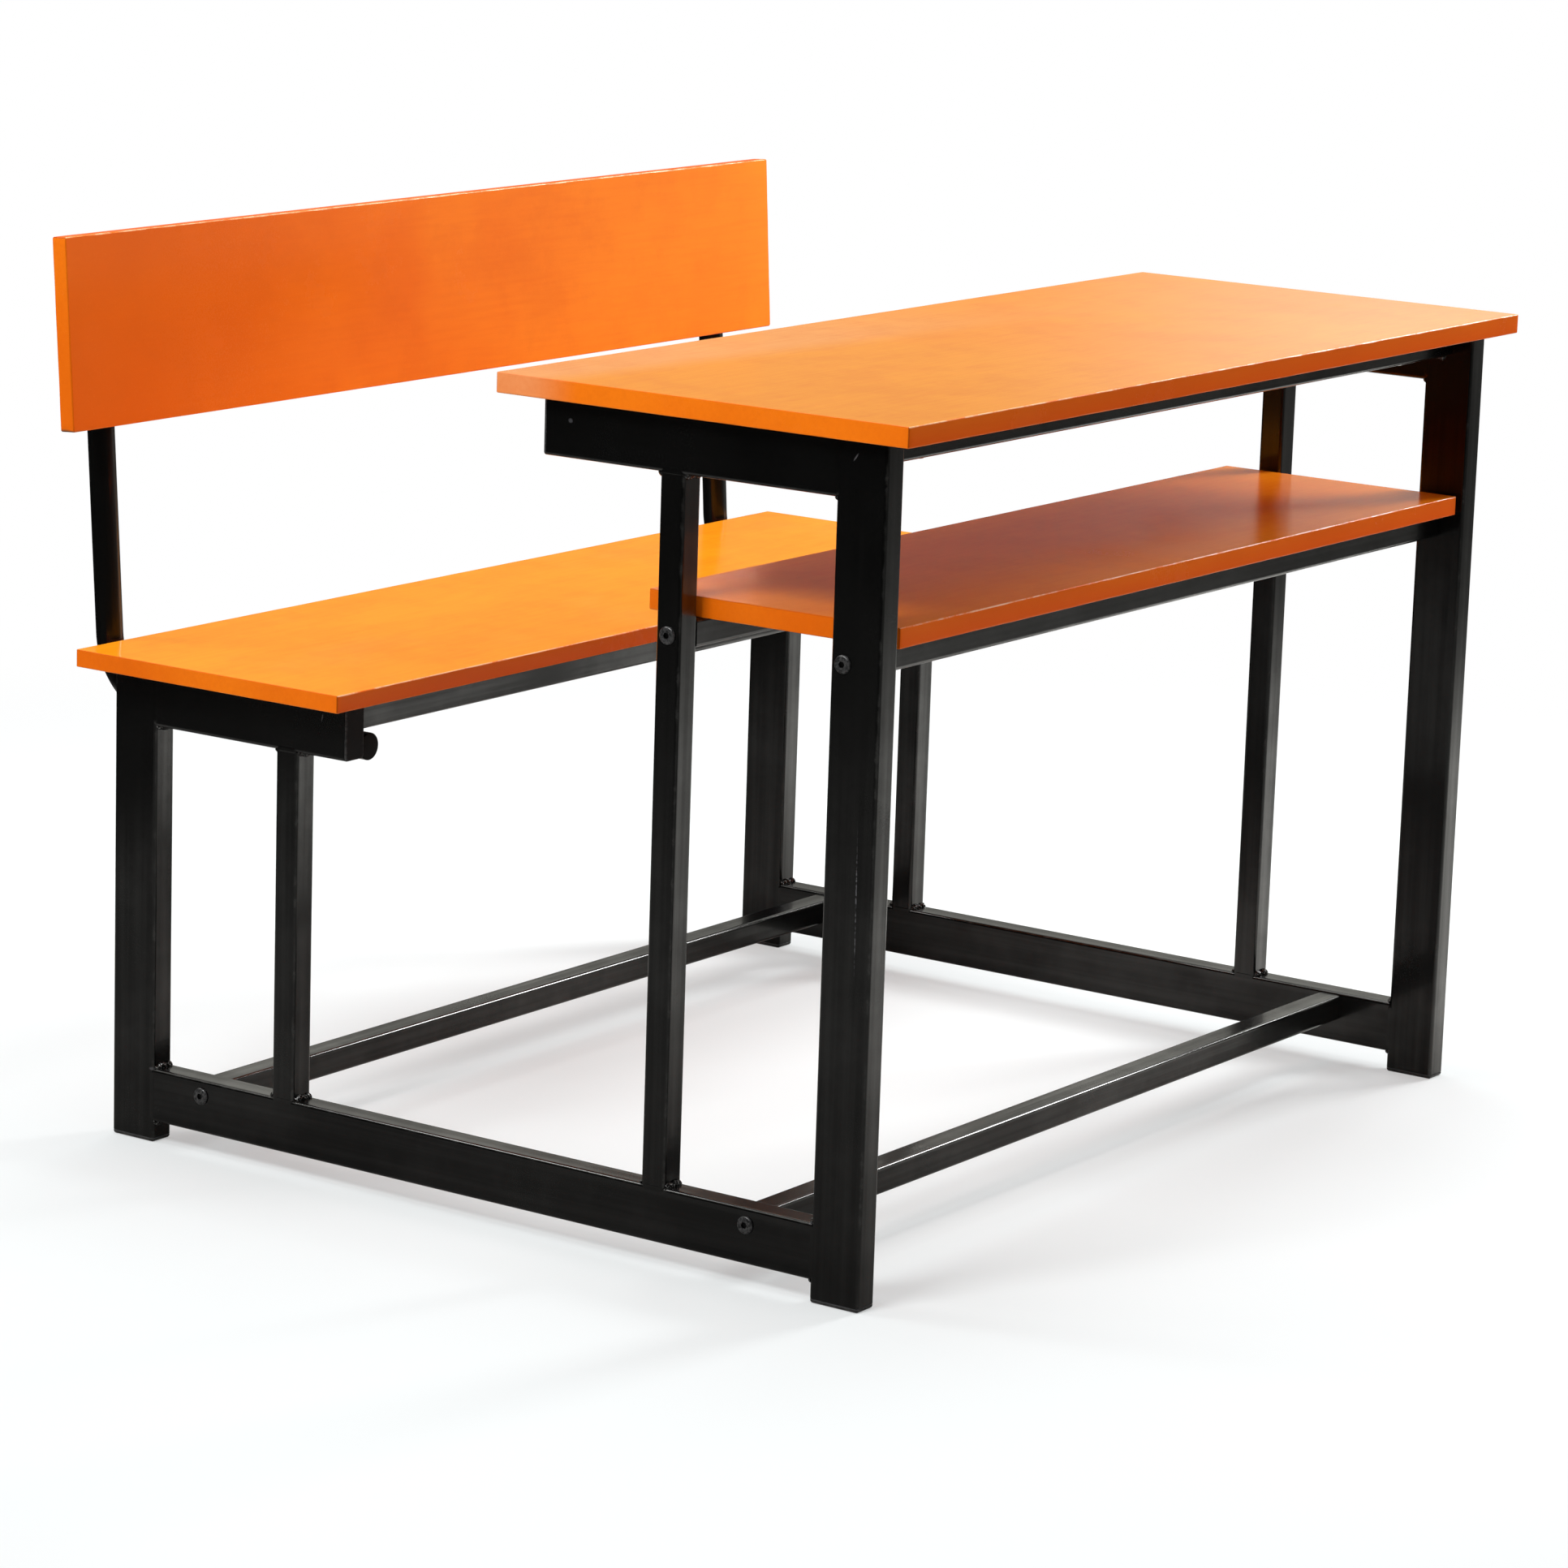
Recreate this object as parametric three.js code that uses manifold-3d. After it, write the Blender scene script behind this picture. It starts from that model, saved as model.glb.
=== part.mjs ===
// School bench for two with its desk, in millimetres, +Z up.
// Two welded steel side frames stand left and right. Square cross rails join them, and
// four boards lie on the rails: desk top, book shelf, seat and backrest.
// X runs along the bench, Y from the desk's front edge to the backrest, Z up from the floor.
// Left is -X, as seen by someone who faces the desk's front edge.
import * as THREE from 'three';
import { mergeVertices } from 'three/addons/utils/BufferGeometryUtils.js';
import Module from 'manifold-3d';

const wasm = await Module();
wasm.setup();

// Driving dimensions: the whole bench
const frameWidth = 1025; // over the outer faces of the two side frames
const deskHeight = 760; // floor to the desk's upper face
const shelfHeight = 584; // floor to the shelf's upper face
const seatHeight = 458; // floor to the seat's upper face
const backrestBottomHeight = 656; // floor to the lower edge of the backrest's front face
const backrestRake = THREE.MathUtils.degToRad(3.7); // lean of the backrest from upright

// Steel tubes
const legDepth = 50; // long side of the flat tubes
const tubeSide = 25; // short side of the flat tubes, both sides of the square ones
const tubeWall = 1.6;
const tubeCorner = 3; // outer corner radius
const roundTube = 25; // outer diameter of the backrest tubes
const bendRadius = 66; // of the backrest tubes' centre line

// Places of the uprights and rails, measured back from the front legs' front faces
const frontRailSetback = 25; // front face of the desk and shelf front rails
const bottomFrontRailCentre = 118;
const deskPostFront = 205; // the shelf rear rail stands in line with the desk posts
const deskRailReach = 354; // rear end of the desk side rails
const deskRearRailInset = 39; // front face of the desk rear rail to the side rails' end
const seatRailFront = 566; // front end of the seat side rails
const seatFrontRailInset = 4; // seat side rails' end to the seat front rail
const seatPostFront = 622;
const seatRearRailInset = 37; // front face of the seat rear rail to the rear legs
const bottomRearRailInset = 58; // centre of the bottom rear rail to the rear legs
const rearLegFront = 789;
const bottomRailClearance = 20; // floor to the bottom side rails
const bottomCrossCentre = 55; // floor to the middle of the bottom cross rails

// Boards
const deskEndOverhang = 12.5; // beyond the side frames' outer faces
const deskDepth = 425;
const deskThickness = 18;
const deskOverhang = 28; // beyond the front legs
const shelfDepth = 258;
const shelfThickness = 18;
const shelfEndGap = 7.5; // between the shelf's ends and the side frames
const shelfSetback = 4; // behind the front legs' front faces
const seatEndOverhang = 30; // of the seat and the backrest, beyond the side frames
const seatDepth = 308;
const seatThickness = 16;
const seatOverhang = 14; // beyond the seat side rails
const backrestHeight = 176;
const backrestThickness = 16;
const boardEdge = 1.2; // rounding of the boards' long edges
const boardCorner = 2; // rounding of the boards' upright corners

// Fasteners and plugs
const boltShank = 8;
const boltHead = 16;
const boltHeadHeight = 2.4;
const boltHeadBevel = 0.9;
const boltSocket = 5; // across the flats
const boltSocketDepth = 1.6;
const boltTip = 3; // thread that stands past the nut
const nutFlats = 13;
const nutHeight = 6.5;
const endPlate = 3; // plate that closes the end of a bolted cross rail
const screwShank = 4.2;
const screwHead = 8.4;
const screwHeadHeight = 2.6;
const screwBite = 10.5; // length that sits in the board
const screwHoleExtra = 1; // depth of the board's hole past the screw's tip
const footFlange = 4; // thickness of the foot plugs under the legs
const footInsert = 22; // depth of the foot plugs in the legs
const railFlange = 2.5;
const railInsert = 14;
const flangeEdge = 0.8; // rounding of the plugs' flanges
const plugWall = 2;
const weldLeg = 4; // size of the fillet welds
const weldRoot = 0.5; // how far a weld bites into the tube that it belongs to
const tubeWeldLength = 50; // welds between the backrest tubes and the seat side rails
const tubeWeldPitch = 100; // from one such weld to the next

// Clearances
const fitGap = 0.3; // between parts that seat in or on each other without flat contact
const seatTubeGap = 2; // between the seat's rear edge and the bent tubes
const tubeRailDrop = 42; // the tubes' level run lies this far under the seat board
const tubeEndSetback = 4; // front ends of the tubes behind the seat side rails' ends
const tubeTopInset = 17; // top ends of the tubes under the backrest's upper edge
const overrun = 1; // how far cutters reach past what they cut
const mergeDistance = 1e-4; // points nearer than this are one point

// Shares of lengths
const screwShare = 0.42; // of a rail's length, from its middle to a screw
const backrestScrewShares = [0.28, 0.72]; // of the backrest's height
const weldBulgeShare = 0.62; // of a weld's leg, from the corner to the middle of its face

// Places round the tube's section where a weld to the side rail begins and ends
const tubeWeldAngles = [15, 45].map(THREE.MathUtils.degToRad);

// Flat faces that round forms are made of
const cornerFacets = 2; // of each rounded corner
const tubeFacets = 18;
const hexagonSides = 6;
const boltFacets = 16;
const screwFacets = 10;
const bendSteps = 10; // along the tubes' bend

// The left and right, front and rear, or lower and upper of a pair
const bothEnds = [-1, 1];

// Levels and places that follow from the sizes above
const halfFrame = frameWidth / 2;
const halfSquare = tubeSide / 2;
const halfLeg = legDepth / 2;
const frameMiddle = halfFrame - halfSquare; // middle plane of a side frame
const innerWidth = frameWidth - 2 * tubeSide; // between the side frames
const deskLength = frameWidth + 2 * deskEndOverhang;
const shelfLength = innerWidth - 2 * shelfEndGap;
const seatLength = frameWidth + 2 * seatEndOverhang; // of the seat and the backrest
const deskUnder = deskHeight - deskThickness;
const shelfUnder = shelfHeight - shelfThickness;
const seatUnder = seatHeight - seatThickness;
const bottomRailTop = bottomRailClearance + legDepth;
const deskRailBottom = deskUnder - legDepth;
const seatRailBottom = seatUnder - legDepth;
const seatRailStart = seatRailFront + railFlange;
const seatFront = seatRailFront - seatOverhang;
const seatBack = seatFront + seatDepth;
const deskPostMiddle = deskPostFront + halfSquare;
const frontRailMiddle = frontRailSetback + halfSquare;
const shelfRailMiddle = shelfUnder - halfSquare; // height of the shelf rails' centre lines
const bottomRearRailCentre = rearLegFront - bottomRearRailInset;
const tubeInside = tubeSide - 2 * tubeWall;
const insideCorner = tubeCorner - tubeWall;
const boltHole = boltShank + 2 * fitGap;
const screwHole = screwShank + 2 * fitGap;

// Finishes
const finishes = {
  blackSteel: { color: 0x141414, roughness: 0.42, metalness: 0.35 },
  orangeBoard: { color: 0xf07818, roughness: 0.4, metalness: 0 },
  blackPlastic: { color: 0x101010, roughness: 0.6, metalness: 0 },
  blackFastener: { color: 0x1c1c1c, roughness: 0.5, metalness: 0.6 },
  zincSteel: { color: 0x9a9c9e, roughness: 0.4, metalness: 0.9 },
};

// Lays a shape that is drawn in the XY plane and drawn out along Z along another axis.
// Along X its x and y become Y and Z. Along Y they become Z and X.
const axisBasis = {
  x: [new THREE.Vector3(0, 1, 0), new THREE.Vector3(0, 0, 1), new THREE.Vector3(1, 0, 0)],
  y: [new THREE.Vector3(0, 0, 1), new THREE.Vector3(1, 0, 0), new THREE.Vector3(0, 1, 0)],
  z: [new THREE.Vector3(1, 0, 0), new THREE.Vector3(0, 1, 0), new THREE.Vector3(0, 0, 1)],
};

// An extrusion's curveSegments count half the facets of each arc.
function drawOut(shape, length, axis, facets = cornerFacets) {
  const geometry = new THREE.ExtrudeGeometry(shape, {
    depth: length,
    bevelEnabled: false,
    curveSegments: facets / 2,
  });
  return geometry.applyMatrix4(new THREE.Matrix4().makeBasis(...axisBasis[axis]));
}

function traceRoundedRectangle(path, width, height, radius) {
  const x = width / 2 - radius;
  const y = height / 2 - radius;
  path.absarc(x, -y, radius, -Math.PI / 2, 0);
  path.absarc(x, y, radius, 0, Math.PI / 2);
  path.absarc(-x, y, radius, Math.PI / 2, Math.PI);
  path.absarc(-x, -y, radius, Math.PI, 1.5 * Math.PI);
  path.closePath();
  return path;
}

function roundedRectangle(width, height, radius) {
  return traceRoundedRectangle(new THREE.Shape(), width, height, radius);
}

function circle(diameter) {
  return new THREE.Shape().absarc(0, 0, diameter / 2, 0, 2 * Math.PI);
}

// Along Y, with its middle at zero
function hexagonPrism(acrossFlats, length) {
  const cornerRadius = acrossFlats / Math.sqrt(3);
  return new THREE.CylinderGeometry(cornerRadius, cornerRadius, length, hexagonSides);
}

function toSolid(geometry) {
  const plain = geometry.clone();
  plain.deleteAttribute('normal');
  plain.deleteAttribute('uv');
  const merged = mergeVertices(plain, mergeDistance);
  return new wasm.Manifold(new wasm.Mesh({
    numProp: 3,
    vertProperties: new Float32Array(merged.attributes.position.array),
    triVerts: new Uint32Array(merged.index.array),
  }));
}

// One body: the first geometry with others joined to it, then with the cutters taken away
function carve(geometry, joined, cutters) {
  let solid = toSolid(geometry);
  for (const addition of joined) {
    solid = solid.add(toSolid(addition));
  }
  for (const cutter of cutters) {
    solid = solid.subtract(toSolid(cutter));
  }
  const data = solid.getMesh();
  const result = new THREE.BufferGeometry();
  const positions = new Float32Array(data.vertProperties);
  result.setAttribute('position', new THREE.BufferAttribute(positions, 3));
  result.setIndex(new THREE.BufferAttribute(new Uint32Array(data.triVerts), 1));
  return result;
}

function piece(parent, name, geometry, finish) {
  const mesh = new THREE.Mesh(geometry, new THREE.MeshStandardMaterial(finishes[finish]));
  mesh.name = name;
  parent.add(mesh);
  return mesh;
}

// Straight steel tube from zero along an axis. Its size across is given in the order of the
// axes that drawOut lays the section on.
function steelTube(axis, length, across, welds = [], holes = []) {
  const [width, height] = across;
  const section = roundedRectangle(width, height, tubeCorner);
  const bore = traceRoundedRectangle(
    new THREE.Path(), width - 2 * tubeWall, height - 2 * tubeWall, insideCorner,
  );
  section.holes.push(bore);
  return carve(drawOut(section, length, axis), welds, holes);
}

const legSection = [tubeSide, legDepth]; // upright: 25 along X, 50 along Y
const sideRailSection = [legDepth, tubeSide]; // level along Y: 50 high, 25 along X
const squareSection = [tubeSide, tubeSide];

// Fillet weld in the corner between the end of its own tube and the face that the tube meets.
// It is centred on the corner and runs along an axis. The two directions are given in the
// plane across that axis: along its own tube, and off the tube's face.
function weldBead(axis, run, alongTube, offTube, corner) {
  const along = new THREE.Vector2(...alongTube);
  const off = new THREE.Vector2(...offTube);
  const bulge = weldLeg * weldBulgeShare;
  const outline = [[0, -weldRoot], [weldLeg, -weldRoot], [bulge, bulge], [0, weldLeg]];
  const points = outline.map(([a, b]) => (
    along.clone().multiplyScalar(a).addScaledVector(off, b)
  ));
  const back = axisBasis[axis][2].clone().multiplyScalar(-run / 2);
  return drawOut(new THREE.Shape(points), run, axis).translate(...back).translate(...corner);
}

const weldRun = tubeSide - 2 * tubeCorner; // the flat width of the tubes' narrow faces

// Welds at the two ends of a post, on its front and rear faces
function postWelds(length) {
  const ends = [[0, 1], [length, -1]];
  return ends.flatMap(([height, up]) => bothEnds.map((back) => (
    weldBead('x', weldRun, [0, up], [back, 0], [0, back * halfSquare, height])
  )));
}

// Weld at an end of a side rail, on its upper or lower face
function sideRailWeld(end, inwards, up) {
  return weldBead('x', weldRun, [inwards, 0], [0, up], [0, end, up * halfLeg]);
}

// Hole for a frame bolt through a side frame's tube
function boltCutter(y, z) {
  const reach = tubeSide + 2 * overrun;
  return drawOut(circle(boltHole), reach, 'x', boltFacets).translate(-reach / 2, y, z);
}

// Plastic plug for the end of a flat tube. Its flange lies below zero and its hollow insert above.
function tubePlug(flange, insert) {
  const [width, height] = legSection;
  const flangeBody = new THREE.ExtrudeGeometry(roundedRectangle(width, height, tubeCorner), {
    depth: flange - 2 * flangeEdge,
    bevelEnabled: true,
    bevelThickness: flangeEdge,
    bevelSize: flangeEdge,
    bevelOffset: -flangeEdge,
    bevelSegments: cornerFacets,
    curveSegments: cornerFacets / 2,
  }).translate(0, 0, flangeEdge - flange);
  const inset = 2 * (tubeWall + fitGap);
  const corner = insideCorner - fitGap;
  const insertSection = roundedRectangle(width - inset, height - inset, corner);
  const hollowInset = inset + 2 * plugWall;
  insertSection.holes.push(traceRoundedRectangle(
    new THREE.Path(), width - hollowInset, height - hollowInset, corner,
  ));
  const insertBody = drawOut(insertSection, insert + flangeEdge, 'z').translate(0, 0, -flangeEdge);
  return carve(flangeBody, [insertBody], []);
}

const bench = new THREE.Group();

// Side frames. Each is one weldment of two legs, two posts and three side rails, and its group
// stands in the frame's middle plane. Outward is -1 on the left and 1 on the right.
function sideFrame(side, outward) {
  const frame = new THREE.Group();
  frame.position.x = outward * frameMiddle;
  bench.add(frame);

  const frontBolt = boltCutter(frontRailMiddle - halfLeg, shelfRailMiddle - footFlange);
  const frontLeg = steelTube('z', deskUnder - footFlange, legSection, [], [frontBolt]);
  piece(frame, `front_leg_${side}`, frontLeg, 'blackSteel').position.set(0, halfLeg, footFlange);

  const rearLeg = steelTube('z', seatUnder - footFlange, legSection);
  piece(frame, `rear_leg_${side}`, rearLeg, 'blackSteel')
    .position.set(0, rearLegFront + halfLeg, footFlange);

  const deskPostLength = deskRailBottom - bottomRailTop;
  const postBolt = boltCutter(0, shelfRailMiddle - bottomRailTop);
  const deskPost = steelTube('z', deskPostLength, squareSection, postWelds(deskPostLength), [postBolt]);
  piece(frame, `desk_post_${side}`, deskPost, 'blackSteel')
    .position.set(0, deskPostMiddle, bottomRailTop);

  const seatPostLength = seatRailBottom - bottomRailTop;
  const seatPost = steelTube('z', seatPostLength, squareSection, postWelds(seatPostLength));
  piece(frame, `seat_post_${side}`, seatPost, 'blackSteel')
    .position.set(0, seatPostFront + halfSquare, bottomRailTop);

  const bottomLength = rearLegFront - legDepth;
  const bottomMiddle = bottomRailClearance + halfLeg;
  const bottomWelds = bothEnds.flatMap((up) => [
    sideRailWeld(0, 1, up),
    sideRailWeld(bottomLength, -1, up),
  ]);
  const bottomBolts = [bottomFrontRailCentre, bottomRearRailCentre].map((centre) => (
    boltCutter(centre - legDepth, bottomCrossCentre - bottomMiddle)
  ));
  const bottomRail = steelTube('y', bottomLength, sideRailSection, bottomWelds, bottomBolts);
  piece(frame, `bottom_side_rail_${side}`, bottomRail, 'blackSteel')
    .position.set(0, legDepth, bottomMiddle);

  const deskRailMiddle = deskRailBottom + halfLeg;
  const deskRailLength = deskRailReach - railFlange - legDepth;
  const deskRail = steelTube('y', deskRailLength, sideRailSection, [sideRailWeld(0, 1, -1)]);
  piece(frame, `desk_side_rail_${side}`, deskRail, 'blackSteel')
    .position.set(0, legDepth, deskRailMiddle);

  const seatRailMiddle = seatRailBottom + halfLeg;
  const seatRailLength = rearLegFront - seatRailStart;
  const seatRailWelds = [sideRailWeld(seatRailLength, -1, -1)];
  const seatRail = steelTube('y', seatRailLength, sideRailSection, seatRailWelds);
  piece(frame, `seat_side_rail_${side}`, seatRail, 'blackSteel')
    .position.set(0, seatRailStart, seatRailMiddle);

  const footPlaces = { front: halfLeg, rear: rearLegFront + halfLeg };
  for (const [end, y] of Object.entries(footPlaces)) {
    piece(frame, `${end}_foot_plug_${side}`, tubePlug(footFlange, footInsert), 'blackPlastic')
      .position.set(0, y, footFlange);
  }

  const deskPlug = piece(
    frame, `desk_rail_plug_${side}`, tubePlug(railFlange, railInsert), 'blackPlastic',
  );
  deskPlug.position.set(0, deskRailReach - railFlange, deskRailMiddle);
  deskPlug.rotation.x = Math.PI / 2;

  const seatPlug = piece(
    frame, `seat_rail_plug_${side}`, tubePlug(railFlange, railInsert), 'blackPlastic',
  );
  seatPlug.position.set(0, seatRailStart, seatRailMiddle);
  seatPlug.rotation.x = -Math.PI / 2;
}

sideFrame('left', -1);
sideFrame('right', 1);

// Cross rails, each a square tube between the side frames. The desk's and the seat's are
// welded in. The shelf's and the bottom ones are bolted on, so their ends are closed by a
// plate that carries a nut.
const screwOffset = innerWidth * screwShare;

function crossRailWelds() {
  return bothEnds.map((outward) => weldBead(
    'y', weldRun, [0, -outward], [-1, 0], [outward * innerWidth / 2, 0, -halfSquare],
  ));
}

function boltedEnds() {
  const side = tubeInside + tubeWall; // plate and wall overlap by half the wall
  return bothEnds.flatMap((outward) => {
    const plate = new THREE.BoxGeometry(endPlate, side, side)
      .translate(outward * (innerWidth - endPlate) / 2, 0, 0);
    const nut = hexagonPrism(nutFlats, nutHeight + overrun)
      .rotateZ(Math.PI / 2)
      .translate(outward * (innerWidth / 2 - endPlate - (nutHeight - overrun) / 2), 0, 0);
    return [plate, nut];
  });
}

function boltBores() {
  const reach = endPlate + nutHeight + overrun;
  return bothEnds.map((outward) => (
    drawOut(circle(boltHole), reach + overrun, 'x', boltFacets)
      .translate(outward * (innerWidth - reach + overrun) / 2 - (reach + overrun) / 2, 0, 0)
  ));
}

function crossRail(name, frontFace, middle, additions, bores, screws) {
  const reach = tubeSide + 2 * overrun;
  const screwHoles = screws.map((outward) => (
    drawOut(circle(screwHole), reach, 'z', screwFacets)
      .translate(outward * screwOffset, 0, -reach / 2)
  ));
  const tube = steelTube('x', innerWidth, squareSection)
    .translate(-innerWidth / 2, 0, 0);
  const body = carve(tube, additions, [...bores, ...screwHoles]);
  piece(bench, name, body, 'blackSteel').position.set(0, frontFace + halfSquare, middle);
}

// Front faces of the rails that carry a board
const deskRails = { front: frontRailSetback, rear: deskRailReach - deskRearRailInset };
const shelfRails = { front: frontRailSetback, rear: deskPostFront };
const seatRails = {
  front: seatRailFront + seatFrontRailInset,
  rear: rearLegFront - seatRearRailInset,
};

for (const end of ['front', 'rear']) {
  crossRail(`desk_${end}_rail`, deskRails[end], deskUnder - halfSquare, crossRailWelds(), [], bothEnds);
  crossRail(`seat_${end}_rail`, seatRails[end], seatUnder - halfSquare, crossRailWelds(), [], bothEnds);
  crossRail(`shelf_${end}_rail`, shelfRails[end], shelfRailMiddle, boltedEnds(), boltBores(), bothEnds);
}
crossRail('bottom_front_rail', bottomFrontRailCentre - halfSquare, bottomCrossCentre,
  boltedEnds(), boltBores(), []);
crossRail('bottom_rear_rail', bottomRearRailCentre - halfSquare, bottomCrossCentre,
  boltedEnds(), boltBores(), []);

// Frame bolts, with a low round head, a hexagon socket and a plain shank. Each goes through
// the side frame into the nut in the cross rail's end.
function frameBolt() {
  const shankRadius = boltShank / 2;
  const headRadius = boltHead / 2;
  const tip = boltHeadHeight + tubeSide + endPlate + nutHeight + boltTip;
  const outline = [
    [0, 0],
    [headRadius - 2 * boltHeadBevel, 0],
    [headRadius - boltHeadBevel / 2, boltHeadBevel / 2],
    [headRadius, boltHeadBevel],
    [headRadius, boltHeadHeight],
    [shankRadius, boltHeadHeight],
    [shankRadius, tip - boltTip / 2],
    [shankRadius - boltTip / 4, tip],
    [0, tip],
  ];
  const body = new THREE.LatheGeometry(
    outline.map(([radius, along]) => new THREE.Vector2(radius, along)), boltFacets,
  );
  return carve(body, [], [hexagonPrism(boltSocket, 2 * boltSocketDepth)]);
}

const boltPlaces = {
  shelf_front: [frontRailMiddle, shelfRailMiddle],
  shelf_rear: [deskPostMiddle, shelfRailMiddle],
  bottom_front: [bottomFrontRailCentre, bottomCrossCentre],
  bottom_rear: [bottomRearRailCentre, bottomCrossCentre],
};

for (const [side, outward] of [['left', -1], ['right', 1]]) {
  for (const [place, [y, z]] of Object.entries(boltPlaces)) {
    const bolt = piece(bench, `${place}_bolt_${side}`, frameBolt(), 'blackFastener');
    bolt.position.set(outward * (halfFrame + boltHeadHeight), y, z);
    bolt.rotation.z = outward * Math.PI / 2;
  }
}

// Boards, each with softly rounded edges. A board lies along X, from zero along Y and Z,
// and its screws enter it from below.
function board(length, depth, thickness, screwPlaces) {
  const outline = roundedRectangle(length, depth, boardCorner);
  const body = new THREE.ExtrudeGeometry(outline, {
    depth: thickness - 2 * boardEdge,
    bevelEnabled: true,
    bevelThickness: boardEdge,
    bevelSize: boardEdge,
    bevelOffset: -boardEdge,
    bevelSegments: cornerFacets,
    curveSegments: cornerFacets / 2,
  }).translate(0, depth / 2, boardEdge);
  const holeDepth = screwBite + screwHoleExtra;
  return carve(body, [], screwPlaces.map(([x, y]) => (
    drawOut(circle(screwHole), holeDepth + overrun, 'z', screwFacets).translate(x, y, -overrun)
  )));
}

// Pan-head screw along its own Y, from under its head to its tip
function boardScrew(grip) {
  const headRadius = screwHead / 2;
  const shankRadius = screwShank / 2;
  const tip = grip + screwBite;
  const outline = [
    [0, -screwHeadHeight],
    [headRadius - screwHeadHeight / 2, -screwHeadHeight],
    [headRadius, -screwHeadHeight / 2],
    [headRadius, 0],
    [shankRadius, 0],
    [shankRadius, tip - screwShank],
    [0, tip],
  ];
  return new THREE.LatheGeometry(
    outline.map(([radius, along]) => new THREE.Vector2(radius, along)), screwFacets,
  );
}

function levelBoard(name, size, front, under, rails) {
  const places = Object.values(rails).flatMap((frontFace) => bothEnds.map((outward) => (
    [outward * screwOffset, frontFace + halfSquare]
  )));
  const body = board(...size, places.map(([x, y]) => [x, y - front]));
  piece(bench, name, body, 'orangeBoard').position.set(0, front, under);
  places.forEach(([x, y], index) => {
    const screw = piece(bench, `${name}_screw_${index + 1}`, boardScrew(tubeSide), 'zincSteel');
    screw.position.set(x, y, under - tubeSide);
    screw.rotation.x = Math.PI / 2;
  });
}

levelBoard('desk_top', [deskLength, deskDepth, deskThickness], -deskOverhang, deskUnder, deskRails);
levelBoard('shelf', [shelfLength, shelfDepth, shelfThickness], shelfSetback, shelfUnder, shelfRails);
levelBoard('seat', [seatLength, seatDepth, seatThickness], seatFront, seatUnder, seatRails);

// Backrest tubes. Each runs level along its seat side rail, bends up behind the seat and
// carries the backrest. The bend clears the seat's lower rear edge by the named gap.
const tubeRadius = roundTube / 2;
const levelHeight = seatUnder - tubeRailDrop;
const bendCentreZ = levelHeight + bendRadius;
const bendInside = bendRadius - tubeRadius;
const bendCentreY = seatBack + seatTubeGap
  - Math.sqrt(bendInside ** 2 - (bendRadius - tubeRailDrop) ** 2);
const bendAngle = Math.PI / 2 - backrestRake;
const levelStart = seatRailFront + tubeEndSetback;

function bendPoint(angle) {
  return new THREE.Vector3(
    0,
    bendCentreY + bendRadius * Math.sin(angle),
    bendCentreZ - bendRadius * Math.cos(angle),
  );
}

// The place that lies so far up a tube's upright and so far forward of its centre line
function onUpright(along, forward) {
  const up = new THREE.Vector3(0, Math.sin(backrestRake), Math.cos(backrestRake));
  const front = new THREE.Vector3(0, -Math.cos(backrestRake), Math.sin(backrestRake));
  return bendPoint(bendAngle).addScaledVector(up, along).addScaledVector(front, forward);
}

const boardBack = tubeRadius + fitGap; // from the tubes' centre lines to the board's back face
const boardLow = (backrestBottomHeight - onUpright(0, boardBack + backrestThickness).z)
  / Math.cos(backrestRake);
const uprightLength = boardLow + backrestHeight - tubeTopInset;
const backrestScrewHeights = backrestScrewShares.map((share) => share * backrestHeight);

// Centre line of a bent tube, shortened at both ends by an inset. It has steps only in the bend.
class BentTubeLine extends THREE.Curve {
  constructor(inset) {
    super();
    this.inset = inset;
    this.lastStep = bendSteps + 2;
  }

  getPointAt(share) {
    const step = Math.round(share * this.lastStep);
    if (step === 0) {
      return new THREE.Vector3(0, levelStart + this.inset, levelHeight);
    }
    if (step === this.lastStep) {
      return onUpright(uprightLength - this.inset, 0);
    }
    return bendPoint(bendAngle * (step - 1) / bendSteps);
  }

  getTangentAt(share) {
    const step = THREE.MathUtils.clamp(Math.round(share * this.lastStep) - 1, 0, bendSteps);
    const angle = bendAngle * step / bendSteps;
    return new THREE.Vector3(0, Math.cos(angle), Math.sin(angle));
  }
}

function sweepAlongTube(diameter, inset) {
  const line = new BentTubeLine(inset);
  return new THREE.ExtrudeGeometry(circle(diameter), {
    steps: line.lastStep,
    curveSegments: tubeFacets / 2,
    extrudePath: line,
  });
}

// Weld in the groove between a tube and its seat side rail, above or below their contact
function tubeWeld(outward, up, start) {
  const bite = tubeRadius - weldRoot;
  const wall = tubeRadius + fitGap;
  const [low, high] = tubeWeldAngles;
  const points = [
    [wall, bite * Math.sin(low)],
    [wall, bite * Math.sin(high) + weldRoot],
    [bite * Math.cos(high), bite * Math.sin(high)],
    [bite * Math.cos(low), bite * Math.sin(low)],
  ];
  const shape = new THREE.Shape(points.map(([x, z]) => new THREE.Vector2(up * z, outward * x)));
  return drawOut(shape, tubeWeldLength, 'y').translate(0, start, levelHeight);
}

// Turns a fastener's own Y from the tubes' rear towards the backrest
const towardsBoard = Math.PI - backrestRake;

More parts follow.
